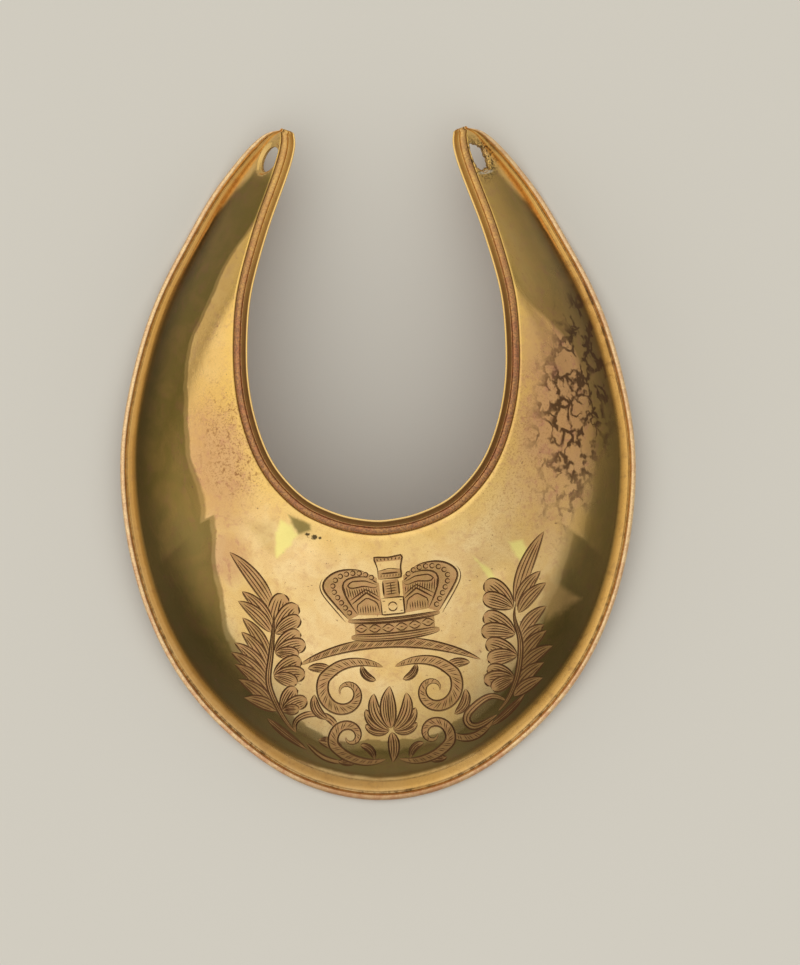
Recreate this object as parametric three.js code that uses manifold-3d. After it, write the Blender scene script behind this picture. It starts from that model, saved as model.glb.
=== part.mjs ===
// Military gorget: a crescent of raised gilt copper sheet that hung at the throat.
// It is one piece: the sheet, the wire-rolled outer rim and the reeded neck rim are one
// soldered metal. It lies on its back, front up: +Y points to the horn tips, +Z is up.
// Millimetres. The origin is the middle of the crescent's extent, on the surface it lies on.
import * as THREE from 'three';
import { mergeVertices } from 'three/addons/utils/BufferGeometryUtils.js';
import Module from 'manifold-3d';

// Driving dimensions of the crescent
const WIDTH = 86.4;
const HEIGHT = 113;
const NECK_WIDTH = 43;
const PLATE_DEPTH = 47.1;      // bottom edge to neck edge, on the middle line
const NECK_HEIGHT = 22.5;      // top of the neck rim at the bottom of the opening
const RIM_ARCH = 4;            // rise of the outer rim at the widest part
const TIP_LIFT = 6.2;          // rise of the outer rim where it runs into a horn tip
const THICKNESS = 0.8;

// Outer rim: a rolled edge, a groove and a hollow cove at the foot of the dome
const ROLL = 1.1;              // diameter of the rolled edge
const GROOVE = 0.28;
const GROOVE_FLOOR = 0.62;     // above the underside of the roll
const EDGE_THICKNESS = 0.6;    // sheet beside the roll
const COVE = 2.9;

// Neck rim: a groove, a bead, a hollow band and a thin lip
const NECK_GROOVE = 0.22;
const NECK_GROOVE_DEPTH = 0.12;
const BEAD = 1.15;
const BEAD_RISE = 0.5;
const BAND = 0.83;
const BAND_RISE = 0.55;
const LIP = 0.4;
const NECK_SLOPE = 0.25;       // the neck rim lies nearly flat, whatever the plate does
const NECK_RIM = NECK_GROOVE + BEAD + BAND + LIP;

// Horn tips, ribbon holes, dents and wear
const TIP_ROUND = 0.45;
const RIM_FADE = 7.5;          // horn width under which the outer rim grows finer
const RIM_LEAST_SHARE = 0.15;
const HOLE_LENGTH = 4.6;
const HOLE_WIDTH = 3.7;
const HOLE_BORDER = 0.75;      // dished border round a hole
const DISH_DEPTH = 0.25;
const DENT_RADIUS = 4;
const DENT_DEPTH = 0.5;
const REST_WEAR = 0.08;        // rubbed off where the rim rests

// Fineness of the faceted solid
const STATIONS = 84;
const ROLL_STEPS = 12;
const COVE_STEPS = 4;
const DOME_STEPS = 12;
const BEAD_STEPS = 6;
const BACK_STEPS = 7;
const HOLE_SIDES = 20;

// Half of the crescent, from the bottom centre to a horn tip, one row per section.
// outerX, outerY: outer edge, shares of half the width and of half the height.
// neckX: neck edge, share of half the neck width. neckY: share of the way from the
// bottom of the opening to the top. neckZ: share of NECK_HEIGHT. arch: share of RIM_ARCH.
// lift: share of TIP_LIFT. cove: share of COVE. straight, shoulder: how much of the dome
// rises evenly, and how quickly the rest turns over at the outer edge.
const ROWS = [
  { outerX: 0.000, outerY: -1.000, neckX: 0.000, neckY: 0.000, neckZ: 1.000, arch: 0.00, lift: 0.00, cove: 1.00, straight: 0.62, shoulder: 7.0 },
  { outerX: 0.185, outerY: -0.981, neckX: 0.130, neckY: 0.004, neckZ: 0.999, arch: 0.00, lift: 0.00, cove: 1.00, straight: 0.62, shoulder: 6.8 },
  { outerX: 0.370, outerY: -0.925, neckX: 0.265, neckY: 0.013, neckZ: 0.996, arch: 0.03, lift: 0.00, cove: 0.99, straight: 0.62, shoulder: 6.2 },
  { outerX: 0.544, outerY: -0.831, neckX: 0.414, neckY: 0.031, neckZ: 0.991, arch: 0.12, lift: 0.00, cove: 0.97, straight: 0.61, shoulder: 5.3 },
  { outerX: 0.694, outerY: -0.717, neckX: 0.553, neckY: 0.056, neckZ: 0.984, arch: 0.30, lift: 0.00, cove: 0.93, straight: 0.61, shoulder: 4.4 },
  { outerX: 0.817, outerY: -0.582, neckX: 0.679, neckY: 0.093, neckZ: 0.974, arch: 0.52, lift: 0.00, cove: 0.86, straight: 0.60, shoulder: 3.6 },
  { outerX: 0.910, outerY: -0.423, neckX: 0.786, neckY: 0.137, neckZ: 0.961, arch: 0.75, lift: 0.00, cove: 0.79, straight: 0.60, shoulder: 2.9 },
  { outerX: 0.971, outerY: -0.248, neckX: 0.874, neckY: 0.193, neckZ: 0.944, arch: 0.92, lift: 0.00, cove: 0.73, straight: 0.60, shoulder: 2.4 },
  { outerX: 0.999, outerY: -0.071, neckX: 0.949, neckY: 0.270, neckZ: 0.921, arch: 1.00, lift: 0.00, cove: 0.70, straight: 0.60, shoulder: 2.1 },
  { outerX: 0.994, outerY: 0.088, neckX: 0.991, neckY: 0.352, neckZ: 0.893, arch: 0.98, lift: 0.00, cove: 0.69, straight: 0.60, shoulder: 2.0 },
  { outerX: 0.958, outerY: 0.246, neckX: 1.000, neckY: 0.434, neckZ: 0.852, arch: 0.86, lift: 0.00, cove: 0.67, straight: 0.60, shoulder: 2.0 },
  { outerX: 0.903, outerY: 0.400, neckX: 0.986, neckY: 0.525, neckZ: 0.794, arch: 0.60, lift: 0.00, cove: 0.64, straight: 0.62, shoulder: 1.9 },
  { outerX: 0.831, outerY: 0.537, neckX: 0.949, neckY: 0.601, neckZ: 0.718, arch: 0.30, lift: 0.00, cove: 0.58, straight: 0.64, shoulder: 1.8 },
  { outerX: 0.743, outerY: 0.664, neckX: 0.879, neckY: 0.686, neckZ: 0.632, arch: 0.06, lift: 0.00, cove: 0.49, straight: 0.67, shoulder: 1.7 },
  { outerX: 0.655, outerY: 0.781, neckX: 0.795, neckY: 0.771, neckZ: 0.547, arch: 0.00, lift: 0.01, cove: 0.38, straight: 0.70, shoulder: 1.6 },
  { outerX: 0.567, outerY: 0.874, neckX: 0.698, neckY: 0.856, neckZ: 0.470, arch: 0.00, lift: 0.19, cove: 0.28, straight: 0.74, shoulder: 1.5 },
  { outerX: 0.486, outerY: 0.945, neckX: 0.633, neckY: 0.920, neckZ: 0.415, arch: 0.00, lift: 0.52, cove: 0.20, straight: 0.78, shoulder: 1.5 },
  { outerX: 0.421, outerY: 0.984, neckX: 0.612, neckY: 0.959, neckZ: 0.380, arch: 0.00, lift: 0.80, cove: 0.15, straight: 0.82, shoulder: 1.5 },
  { outerX: 0.366, outerY: 0.994, neckX: 0.619, neckY: 0.981, neckZ: 0.362, arch: 0.00, lift: 1.00, cove: 0.12, straight: 0.86, shoulder: 1.5 },
];
const TIP = ROWS.length - 1;

// Dents, placed by shares of half the width and height and sized by shares of
// DENT_RADIUS and DENT_DEPTH
const DENTS = [
  { name: 'left, under the neck', x: -0.305, y: -0.225, radius: 0.70, depth: 0.80 },
  { name: 'right shoulder', x: 0.545, y: -0.250, radius: 0.75, depth: 0.80 },
  { name: 'right, lower', x: 0.435, y: -0.320, radius: 0.60, depth: 0.60 },
  { name: 'right flank', x: 0.820, y: -0.370, radius: 0.90, depth: 0.60 },
  { name: 'left flank', x: -0.800, y: -0.240, radius: 1.00, depth: 0.50 },
];

// The ribbon holes sit between two rows, at a share of the dome's breadth. The left one
// is a plain oval, the right one has torn out to a ragged outline.
const HOLE_ROW_INDEX = 15.75;
const HOLE_ACROSS_SHARE = 0.62;
const PLAIN_HOLE = [1];
const TORN_HOLE = [1.10, 0.98, 1.16, 1.02, 1.14, 0.96, 1.08, 1.00, 1.12, 1.04];

// The curve through evenly spaced values that bends least, as a function of the
// fractional index
function smoothCurve(values) {
  const last = values.length - 1;
  const bend = new Array(last + 1).fill(0);
  const share = new Array(last + 1).fill(0);
  for (let i = 1; i < last; i += 1) {
    const pull = 6 * (values[i + 1] - 2 * values[i] + values[i - 1]);
    const pivot = 4 - share[i - 1];
    share[i] = 1 / pivot;
    bend[i] = (pull - bend[i - 1]) / pivot;
  }
  for (let i = last - 1; i > 0; i -= 1) {
    bend[i] -= share[i] * bend[i + 1];
  }
  return (index) => {
    const i = Math.min(Math.max(Math.floor(index), 0), last - 1);
    const b = index - i;
    const a = 1 - b;
    const straightPart = a * values[i] + b * values[i + 1];
    return straightPart + ((a ** 3 - a) * bend[i] + (b ** 3 - b) * bend[i + 1]) / 6;
  };
}

// A column of ROWS along the whole crescent, from the left tip (-TIP) to the right (TIP)
function column(name, mirrorSign) {
  const left = ROWS.slice(1).reverse().map((row) => mirrorSign * row[name]);
  const curve = smoothCurve([...left, ...ROWS.map((row) => row[name])]);
  return (row) => curve(row + TIP);
}

const along = {
  outerX: column('outerX', -1),
  neckX: column('neckX', -1),
};
for (const name of ['outerY', 'neckY', 'neckZ', 'arch', 'lift', 'cove', 'straight', 'shoulder']) {
  along[name] = column(name, 1);
}

// Sizes of the section at a row: where it starts, which way it runs and its mouldings
function stationAt(row) {
  const outer = new THREE.Vector2(along.outerX(row) * WIDTH / 2, along.outerY(row) * HEIGHT / 2);
  const neckBottom = PLATE_DEPTH - HEIGHT / 2;
  const neck = new THREE.Vector2(
    along.neckX(row) * NECK_WIDTH / 2,
    neckBottom + along.neckY(row) * (HEIGHT - PLATE_DEPTH),
  );
  const breadth = outer.distanceTo(neck);
  const inward = neck.clone().sub(outer).divideScalar(breadth);
  const fine = THREE.MathUtils.clamp(
    RIM_LEAST_SHARE + (1 - RIM_LEAST_SHARE) * (breadth - NECK_RIM) / (RIM_FADE - NECK_RIM),
    RIM_LEAST_SHARE,
    1,
  );
  const cove = along.cove(row) * COVE * fine;
  const coveStart = (ROLL + GROOVE) * fine;
  const domeStart = coveStart + cove;
  const neckScale = Math.min(1, (breadth - domeStart - GROOVE) / NECK_RIM);
  const domeEnd = breadth - NECK_RIM * neckScale;
  const foot = along.arch(row) * RIM_ARCH + along.lift(row) * TIP_LIFT - REST_WEAR;
  const lipTop = NECK_SLOPE * (NECK_RIM - LIP / 2) + BAND_RISE + LIP / 2;
  const domeTop = along.neckZ(row) * NECK_HEIGHT - lipTop * neckScale;
  const coveFloor = foot + (GROOVE_FLOOR + NECK_GROOVE_DEPTH) * fine;
  const straight = along.straight(row);
  const shoulder = along.shoulder(row);
  const steepness = straight + (1 - straight) * shoulder;
  const domeBreadth = domeEnd - domeStart;
  const footSlope = steepness * (domeTop - coveFloor) / (domeBreadth + steepness * cove / 2);
  return {
    outer, inward, breadth, fine, cove, coveStart, coveFloor, domeStart, domeEnd, neckScale,
    foot, domeTop, straight, shoulder, domeBreadth, footSlope,
  };
}

// Height and slope of the dome at a share v of its breadth, from the cove to the neck rim
function domeAt(station, v) {
  const base = station.coveFloor + station.footSlope * station.cove / 2;
  const rise = station.domeTop - base;
  const { straight, shoulder } = station;
  const height = straight * v + (1 - straight) * (1 - (1 - v) ** shoulder);
  const slope = straight + (1 - straight) * shoulder * (1 - v) ** (shoulder - 1);
  return {
    d: station.domeStart + v * station.domeBreadth,
    z: base + rise * height,
    slope: rise * slope / station.domeBreadth,
  };
}

// Height and slope of the cove at a share u of its breadth: a parabola that leaves the
// groove level and meets the dome at the dome's own slope
function coveAt(station, u) {
  return {
    d: station.coveStart + u * station.cove,
    z: station.coveFloor + station.footSlope * station.cove * u ** 2 / 2,
    slope: station.footSlope * u,
  };
}

function beneath(point, thickness) {
  const length = Math.hypot(1, point.slope);
  return [point.d + thickness * point.slope / length, point.z - thickness / length];
}

// The closed section at a station, as [distance in from the outer edge, height] pairs:
// over the front from the roll to the lip, and back along the underside
function sectionAt(station) {
  const points = [];
  const { fine, foot, neckScale, domeEnd, domeTop } = station;
  const rollRadius = ROLL * fine / 2;
  const rollStart = -60;
  const rollTurn = -270;
  const rollPoints = ROLL_STEPS * 3 / 4;
  for (let i = 0; i <= rollPoints; i += 1) {
    const angle = THREE.MathUtils.degToRad(rollStart + rollTurn * i / rollPoints);
    points.push([
      rollRadius * (1 + Math.cos(angle)),
      foot + rollRadius * (1 + Math.sin(angle)),
    ]);
  }
  points.push([(ROLL + GROOVE / 2) * fine, foot + GROOVE_FLOOR * fine]);
  for (let i = 0; i < COVE_STEPS; i += 1) {
    const at = coveAt(station, i / COVE_STEPS);
    points.push([at.d, at.z]);
  }
  for (let i = 0; i <= DOME_STEPS; i += 1) {
    const at = domeAt(station, (i / DOME_STEPS) ** 1.3);
    points.push([at.d, at.z]);
  }
  const neckPoint = (u, h) => [
    domeEnd + u * neckScale,
    domeTop + (NECK_SLOPE * u + h) * neckScale,
  ];
  points.push(neckPoint(NECK_GROOVE / 2, -NECK_GROOVE_DEPTH));
  for (let i = 0; i <= BEAD_STEPS; i += 1) {
    const angle = Math.PI * (1 - i / BEAD_STEPS);
    const u = NECK_GROOVE + BEAD / 2 * (1 + Math.cos(angle));
    points.push(neckPoint(u, BEAD_RISE * Math.sin(angle)));
  }
  const bandSteps = 3;
  for (let i = 1; i <= bandSteps; i += 1) {
    const share = i / bandSteps;
    points.push(neckPoint(NECK_GROOVE + BEAD + BAND * share, BAND_RISE * share ** 2));
  }
  for (const degrees of [120, 60, 0]) {
    const angle = THREE.MathUtils.degToRad(degrees);
    const u = NECK_RIM - LIP / 2 + LIP / 2 * Math.cos(angle);
    points.push(neckPoint(u, BAND_RISE + LIP / 2 * Math.sin(angle)));
  }
  points.push(neckPoint(NECK_RIM, 0));
  points.push(neckPoint(NECK_RIM - LIP, -EDGE_THICKNESS));
  points.push(neckPoint(NECK_GROOVE + BEAD, -THICKNESS));
  for (let i = BACK_STEPS; i >= 0; i -= 1) {
    points.push(beneath(domeAt(station, (i / BACK_STEPS) ** 1.3 * 0.98), THICKNESS * fine ** 0.5));
  }
  for (const u of [0.66, 0.33, 0]) {
    const sheet = EDGE_THICKNESS + (THICKNESS - EDGE_THICKNESS) * u;
    points.push(beneath(coveAt(station, u), sheet * fine));
  }
  return points;
}

function dentDepth(x, y) {
  let depth = 0;
  for (const dent of DENTS) {
    const dx = x - dent.x * WIDTH / 2;
    const dy = y - dent.y * HEIGHT / 2;
    const reach = dent.radius * DENT_RADIUS;
    depth += dent.depth * DENT_DEPTH * Math.exp(-(dx * dx + dy * dy) / reach ** 2);
  }
  return depth;
}

function placed(station, d, z) {
  const x = station.outer.x + station.inward.x * d;
  const y = station.outer.y + station.inward.y * d;
  return new THREE.Vector3(x, y, z - dentDepth(x, y));
}

// Rings that close a horn tip: the last section, drawn in about its middle while it
// moves a little way out, so that the edge is round
function tipRings(station, section, outward) {
  const middle = section.reduce((sum, [d, z]) => [sum[0] + d, sum[1] + z], [0, 0])
    .map((sum) => sum / section.length);
  return [30, 60].map((degrees) => {
    const angle = THREE.MathUtils.degToRad(degrees);
    const size = 1 - (1 - Math.cos(angle)) * 0.5;
    return section.map(([d, z]) => {
      const point = placed(
        station,
        middle[0] + (d - middle[0]) * size,
        middle[1] + (z - middle[1]) * size,
      );
      const reach = TIP_ROUND * Math.sin(angle);
      point.x += outward.x * reach;
      point.y += outward.y * reach;
      return point;
    });
  });
}

// The sheet with both rims as one closed surface, ring after ring from tip to tip
function plateGeometry() {
  const rings = [];
  const flat = { start: null, end: null };
  for (let i = 0; i <= STATIONS; i += 1) {
    const station = stationAt(-TIP + 2 * TIP * i / STATIONS);
    const section = sectionAt(station);
    const ring = section.map(([d, z]) => placed(station, d, z));
    if (i === 0) {
      const outward = { x: -station.inward.y, y: station.inward.x };
      rings.push(...tipRings(station, section, outward).reverse());
      flat.start = section;
    }
    rings.push(ring);
    if (i === STATIONS) {
      const outward = { x: station.inward.y, y: -station.inward.x };
      rings.push(...tipRings(station, section, outward));
      flat.end = section;
    }
  }
  const size = rings[0].length;
  const faces = [];
  for (let r = 0; r + 1 < rings.length; r += 1) {
    for (let i = 0; i < size; i += 1) {
      const j = (i + 1) % size;
      const [a, b, c, d] = [r * size + i, r * size + j, (r + 1) * size + j, (r + 1) * size + i];
      faces.push(a, c, b, a, d, c);
    }
  }
  const lastRing = (rings.length - 1) * size;
  const cap = (section) => THREE.ShapeUtils.triangulateShape(
    section.map(([d, z]) => new THREE.Vector2(d, z)),
    [],
  );
  for (const [a, b, c] of cap(flat.start)) {
    faces.push(a, c, b);
  }
  for (const [a, b, c] of cap(flat.end)) {
    faces.push(lastRing + a, lastRing + b, lastRing + c);
  }
  const geometry = new THREE.BufferGeometry();
  const positions = rings.flat().flatMap((point) => point.toArray());
  geometry.setAttribute('position', new THREE.Float32BufferAttribute(positions, 3));
  geometry.setIndex(faces);
  return geometry;
}

// Position, direction along the horn and outward normal of the front face at a hole
function holeFrame(row) {
  const nearby = 0.05;
  const onDome = (r, v) => {
    const station = stationAt(r);
    const at = domeAt(station, v);
    return placed(station, at.d, at.z);
  };
  const centre = onDome(row, HOLE_ACROSS_SHARE);
  const lengthwise = onDome(row + nearby, HOLE_ACROSS_SHARE).sub(onDome(row - nearby, HOLE_ACROSS_SHARE));
  const across = onDome(row, HOLE_ACROSS_SHARE + nearby).sub(onDome(row, HOLE_ACROSS_SHARE - nearby));
  const normal = lengthwise.clone().cross(across).normalize();
  if (normal.z < 0) {
    normal.negate();
  }
  lengthwise.normalize();
  const sideways = normal.clone().cross(lengthwise).normalize();
  return { centre, turn: new THREE.Matrix4().makeBasis(lengthwise, sideways, normal) };
}

// An oval block in a hole's frame, from a height below the face to one above it; the
// outline swells and shrinks by the given shares round it
function ovalCutter(frame, length, width, low, high, shares) {
  const outline = [];
  for (let i = 0; i < HOLE_SIDES; i += 1) {
    const angle = 2 * Math.PI * i / HOLE_SIDES;
    const share = shares[i % shares.length];
    outline.push(new THREE.Vector2(
      length / 2 * share * Math.cos(angle),
      width / 2 * share * Math.sin(angle),
    ));
  }
  const geometry = new THREE.ExtrudeGeometry(new THREE.Shape(outline), {
    depth: high - low,
    bevelEnabled: false,
    steps: 1,
  });
  geometry.translate(0, 0, low);
  geometry.applyMatrix4(frame.turn);
  geometry.translate(frame.centre.x, frame.centre.y, frame.centre.z);
  return geometry;
}

const wasm = await Module();
wasm.setup();

function solidFrom(geometry) {
  const bare = geometry.clone();
  bare.deleteAttribute('normal');
  bare.deleteAttribute('uv');
  const merged = mergeVertices(bare, 1e-5);
  return new wasm.Manifold(new wasm.Mesh({
    numProp: 3,
    vertProperties: new Float32Array(merged.attributes.position.array),
    triVerts: new Uint32Array(merged.index.array),
  }));
}

function geometryFrom(solid) {
  const mesh = solid.getMesh();
  const geometry = new THREE.BufferGeometry();
  geometry.setAttribute('position', new THREE.BufferAttribute(mesh.vertProperties, 3));
  geometry.setIndex(new THREE.BufferAttribute(mesh.triVerts, 1));
  geometry.computeVertexNormals();
  return geometry;
}

// The whole gorget: the plate, less both ribbon holes with their dished borders, less
// what has rubbed off the rim where it rests
function gorgetGeometry() {
  let solid = solidFrom(plateGeometry());
  for (const [row, shares] of [[-HOLE_ROW_INDEX, PLAIN_HOLE], [HOLE_ROW_INDEX, TORN_HOLE]]) {
    const frame = holeFrame(row);
    const through = 3 * THICKNESS;
    const dish = ovalCutter(
      frame,
      HOLE_LENGTH + 2 * HOLE_BORDER,
      HOLE_WIDTH + 2 * HOLE_BORDER,
      -DISH_DEPTH,
      through,
      PLAIN_HOLE,
    );
    const hole = ovalCutter(frame, HOLE_LENGTH, HOLE_WIDTH, -through, through, shares);
    solid = solid.subtract(solidFrom(dish)).subtract(solidFrom(hole));
  }
  const rubbed = new THREE.BoxGeometry(2 * WIDTH, 2 * HEIGHT, HEIGHT);
  rubbed.translate(0, 0, -HEIGHT / 2);
  return geometryFrom(solid.subtract(solidFrom(rubbed)));
}

const giltCopper = new THREE.MeshStandardMaterial({
  color: 0xcf9f52,
  roughness: 0.28,
  metalness: 1,
});

const plate = new THREE.Mesh(gorgetGeometry(), giltCopper);
plate.name = 'gorget_plate';

const gorget = new THREE.Group();
gorget.add(plate);

export default gorget;
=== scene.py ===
"""Military gorget of engraved gilt copper, lying on a pale floor under soft light.

The crescent is one closed surface. Rings of points, one ring per station from the left horn
tip to the right one, run over the front of the sheet and back along its underside. Where the
front is engraved, and round the two ribbon holes, the rings give way to triangles that follow
the cuts. Lengths are in millimetres until the mesh is written: x to the right, y towards the
horn tips, z up, and the origin on the floor under the middle of the crescent.
"""
import math
from types import SimpleNamespace
import bpy
import numpy as np
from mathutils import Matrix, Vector
from mathutils.geometry import delaunay_2d_cdt


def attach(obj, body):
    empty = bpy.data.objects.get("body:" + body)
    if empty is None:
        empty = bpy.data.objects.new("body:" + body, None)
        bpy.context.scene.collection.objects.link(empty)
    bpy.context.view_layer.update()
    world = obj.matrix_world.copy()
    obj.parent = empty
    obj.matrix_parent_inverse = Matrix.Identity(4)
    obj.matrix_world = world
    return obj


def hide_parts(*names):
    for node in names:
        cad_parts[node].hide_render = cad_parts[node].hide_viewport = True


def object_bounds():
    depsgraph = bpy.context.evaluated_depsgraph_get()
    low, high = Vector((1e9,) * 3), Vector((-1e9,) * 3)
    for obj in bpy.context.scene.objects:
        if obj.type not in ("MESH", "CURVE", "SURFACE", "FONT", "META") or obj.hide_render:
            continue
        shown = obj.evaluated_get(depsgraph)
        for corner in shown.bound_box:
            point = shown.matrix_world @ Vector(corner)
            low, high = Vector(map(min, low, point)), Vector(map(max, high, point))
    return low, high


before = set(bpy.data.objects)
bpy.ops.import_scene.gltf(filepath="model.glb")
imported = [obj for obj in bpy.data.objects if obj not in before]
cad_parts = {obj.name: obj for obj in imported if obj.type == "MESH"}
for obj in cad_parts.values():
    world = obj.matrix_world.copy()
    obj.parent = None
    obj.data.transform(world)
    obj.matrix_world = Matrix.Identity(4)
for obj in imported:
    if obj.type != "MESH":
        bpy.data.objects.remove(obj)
cad_low, cad_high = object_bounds()

# Driving sizes, the first ones from the frame
MM = 0.001
BODY = "root"
PLATE_NODE = "gorget_plate"
WIDTH = (cad_high.x - cad_low.x) / MM
HEIGHT = (cad_high.y - cad_low.y) / MM
NECK_WIDTH = 43.0
PLATE_DEPTH = 47.1
NECK_HEIGHT = (cad_high.z - cad_low.z) / MM
RIM_ARCH = 4.0
TIP_LIFT = 6.2
THICKNESS = 0.8

# Outer rim: rolled edge, groove and cove
ROLL = 1.1
GROOVE = 0.28
GROOVE_FLOOR = 0.62
EDGE_THICKNESS = 0.6
COVE = 2.9
COVE_STEP = 0.12

# Neck rim: groove, bead, hollow band and thin lip
NECK_GROOVE = 0.22
NECK_GROOVE_DEPTH = 0.12
BEAD = 1.15
BEAD_RISE = 0.5
BAND = 0.83
BAND_RISE = 0.55
LIP = 0.4
NECK_SLOPE = 0.25
NECK_RIM = NECK_GROOVE + BEAD + BAND + LIP

# Horn tips and ribbon holes
TIP_ROUND = 0.45
RIM_FADE = 7.5
RIM_LEAST_SHARE = 0.15
HOLE_LENGTH = 4.6
HOLE_WIDTH = 3.7
HOLE_BORDER = 0.75
HOLE_BORDER_NECK = 0.3
HOLE_NECK_LIMIT = 0.915        # how near the neck groove a hole comes, and its border
RIM_NECK_LIMIT = 0.955
DISH_DEPTH = 0.25
HOLE_ROW = 15.75
HOLE_ACROSS = 0.62
HOLE_REACH = 1.15              # rows to either side of a hole that its triangles take up
HOLE_SEARCH = 2.2              # rows to either side that its points are looked for in
DENT_RADIUS = 4.0
DENT_DEPTH = 0.5
REST_WEAR = 0.08

# How finely the surface is divided
STATIONS = 440
ROLL_POINTS = 20
COVE_POINTS = 11
DOME_POINTS = 49
BEAD_POINTS = 11
BAND_POINTS = 7
LIP_POINTS = 6
BACK_POINTS = 20
TIP_RINGS = 6
HOLE_POINTS = 72
CROWDING = 1.3                 # how much the dome's points crowd towards its foot

# Half of the crescent, from the bottom centre to a horn tip, one row per section, as
# shares of the driving sizes
ROW_COLUMNS = (
    "outer_x", "outer_y", "neck_x", "neck_y", "neck_z", "arch", "lift", "cove", "straight", "shoulder",
)
ROWS = (
    (0.000, -1.000, 0.000, 0.000, 1.000, 0.00, 0.00, 1.00, 0.62, 7.0),
    (0.185, -0.981, 0.130, 0.004, 0.999, 0.00, 0.00, 1.00, 0.62, 6.8),
    (0.370, -0.925, 0.265, 0.013, 0.996, 0.03, 0.00, 0.99, 0.62, 6.2),
    (0.544, -0.831, 0.414, 0.031, 0.991, 0.12, 0.00, 0.97, 0.61, 5.3),
    (0.694, -0.717, 0.553, 0.056, 0.984, 0.30, 0.00, 0.93, 0.61, 4.4),
    (0.817, -0.582, 0.679, 0.093, 0.974, 0.52, 0.00, 0.86, 0.60, 3.6),
    (0.910, -0.423, 0.786, 0.137, 0.961, 0.75, 0.00, 0.79, 0.60, 2.9),
    (0.971, -0.248, 0.874, 0.193, 0.944, 0.92, 0.00, 0.73, 0.60, 2.4),
    (0.999, -0.071, 0.949, 0.270, 0.921, 1.00, 0.00, 0.70, 0.60, 2.1),
    (0.994, 0.088, 0.991, 0.352, 0.893, 0.98, 0.00, 0.69, 0.60, 2.0),
    (0.958, 0.246, 1.000, 0.434, 0.852, 0.86, 0.00, 0.67, 0.60, 2.0),
    (0.903, 0.400, 0.986, 0.525, 0.794, 0.60, 0.00, 0.64, 0.62, 1.9),
    (0.831, 0.537, 0.949, 0.601, 0.718, 0.30, 0.00, 0.58, 0.64, 1.8),
    (0.743, 0.664, 0.879, 0.686, 0.632, 0.06, 0.00, 0.49, 0.67, 1.7),
    (0.655, 0.781, 0.795, 0.771, 0.547, 0.00, 0.01, 0.38, 0.70, 1.6),
    (0.567, 0.874, 0.698, 0.856, 0.470, 0.00, 0.19, 0.28, 0.74, 1.5),
    (0.486, 0.945, 0.633, 0.920, 0.415, 0.00, 0.52, 0.20, 0.78, 1.5),
    (0.421, 0.984, 0.612, 0.959, 0.380, 0.00, 0.80, 0.15, 0.82, 1.5),
    (0.366, 0.994, 0.619, 0.981, 0.362, 0.00, 1.00, 0.12, 0.86, 1.5),
)
TIP = len(ROWS) - 1

# Dents: centre as shares of half the width and height, radius and depth as shares of
# DENT_RADIUS and DENT_DEPTH
DENTS = (
    (-0.305, -0.225, 0.70, 0.80),
    (0.545, -0.250, 0.75, 0.80),
    (0.435, -0.320, 0.60, 0.60),
    (0.820, -0.370, 0.90, 0.60),
    (-0.800, -0.240, 1.00, 0.50),
)

# Unevenness of a sheet raised by hand: waves with a length, a direction in degrees and a
# height
WAVES = (
    (19.0, 20.0, 0.030),
    (14.5, 75.0, 0.022),
    (11.0, 130.0, 0.014),
    (8.2, 50.0, 0.008),
    (6.7, 165.0, 0.005),
)

# The turn of the rolled edge and of the lip, in degrees
ROLL_TURN = (-60, -330)
LIP_TURN = (120, 0)

# The underside of the neck rim: how far past the dome's end and how high each point lies
NECK_EDGE = (
    (NECK_RIM, 0.0),
    (NECK_RIM - LIP * 0.3, -EDGE_THICKNESS * 0.7),
    (NECK_RIM - LIP, -EDGE_THICKNESS),
    (NECK_GROOVE + BEAD, -THICKNESS),
)
BACK_SHARE = 0.98              # how far up the dome the underside's own points reach

# The dish round a ribbon hole: how far each ring lies from the hole's edge to the border's,
# and its depth as a share of DISH_DEPTH
DISH = (
    (0.00, 1.12),
    (0.10, 1.00),
    (0.50, 0.95),
    (0.72, 0.55),
    (0.86, 0.16),
    (1.00, 0.00),
)

# How much straight edges are bowed while triangles are laid out
BOW = 0.03

# Where a point lies on the section: whole numbers mark where each moulding starts
ON_ROLL, ON_GROOVE, ON_COVE, ON_DOME, ON_NECK_GROOVE, ON_BEAD, ON_BAND, ON_LIP, ON_BACK = range(9)


def smooth_curve(values):
    """The curve through evenly spaced values that bends least. Between knots i and i + 1 it is
    a v[i] + b v[i+1] + ((a^3 - a) m[i] + (b^3 - b) m[i+1]) / 6, with b the share of the way,
    a = 1 - b, and bends m that solve m[i-1] + 4 m[i] + m[i+1] = 6 (v[i-1] - 2 v[i] + v[i+1])."""
    values = np.asarray(values, float)
    count = len(values)
    inner = np.arange(1, count - 1)
    matrix = np.eye(count)
    matrix[inner, inner] = 4
    matrix[inner, inner - 1] = 1
    matrix[inner, inner + 1] = 1
    pull = np.zeros(count)
    pull[inner] = 6 * (values[2:] - 2 * values[1:-1] + values[:-2])
    bend = np.linalg.solve(matrix, pull)

    def curve(index):
        i = np.clip(np.floor(index), 0, count - 2).astype(int)
        b = index - i
        a = 1 - b
        even = a * values[i] + b * values[i + 1]
        return even + ((a ** 3 - a) * bend[i] + (b ** 3 - b) * bend[i + 1]) / 6

    return curve


def whole_crescent(name):
    """A column of ROWS along both horns, as a function of the row from -TIP to TIP; the
    sideways columns change sign on the left."""
    column = np.array([row[ROW_COLUMNS.index(name)] for row in ROWS])
    sign = -1 if name in ("outer_x", "neck_x") else 1
    curve = smooth_curve(np.concatenate([sign * column[:0:-1], column]))
    return lambda row: curve(row + TIP)


ALONG = {name: whole_crescent(name) for name in ROW_COLUMNS}


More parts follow.
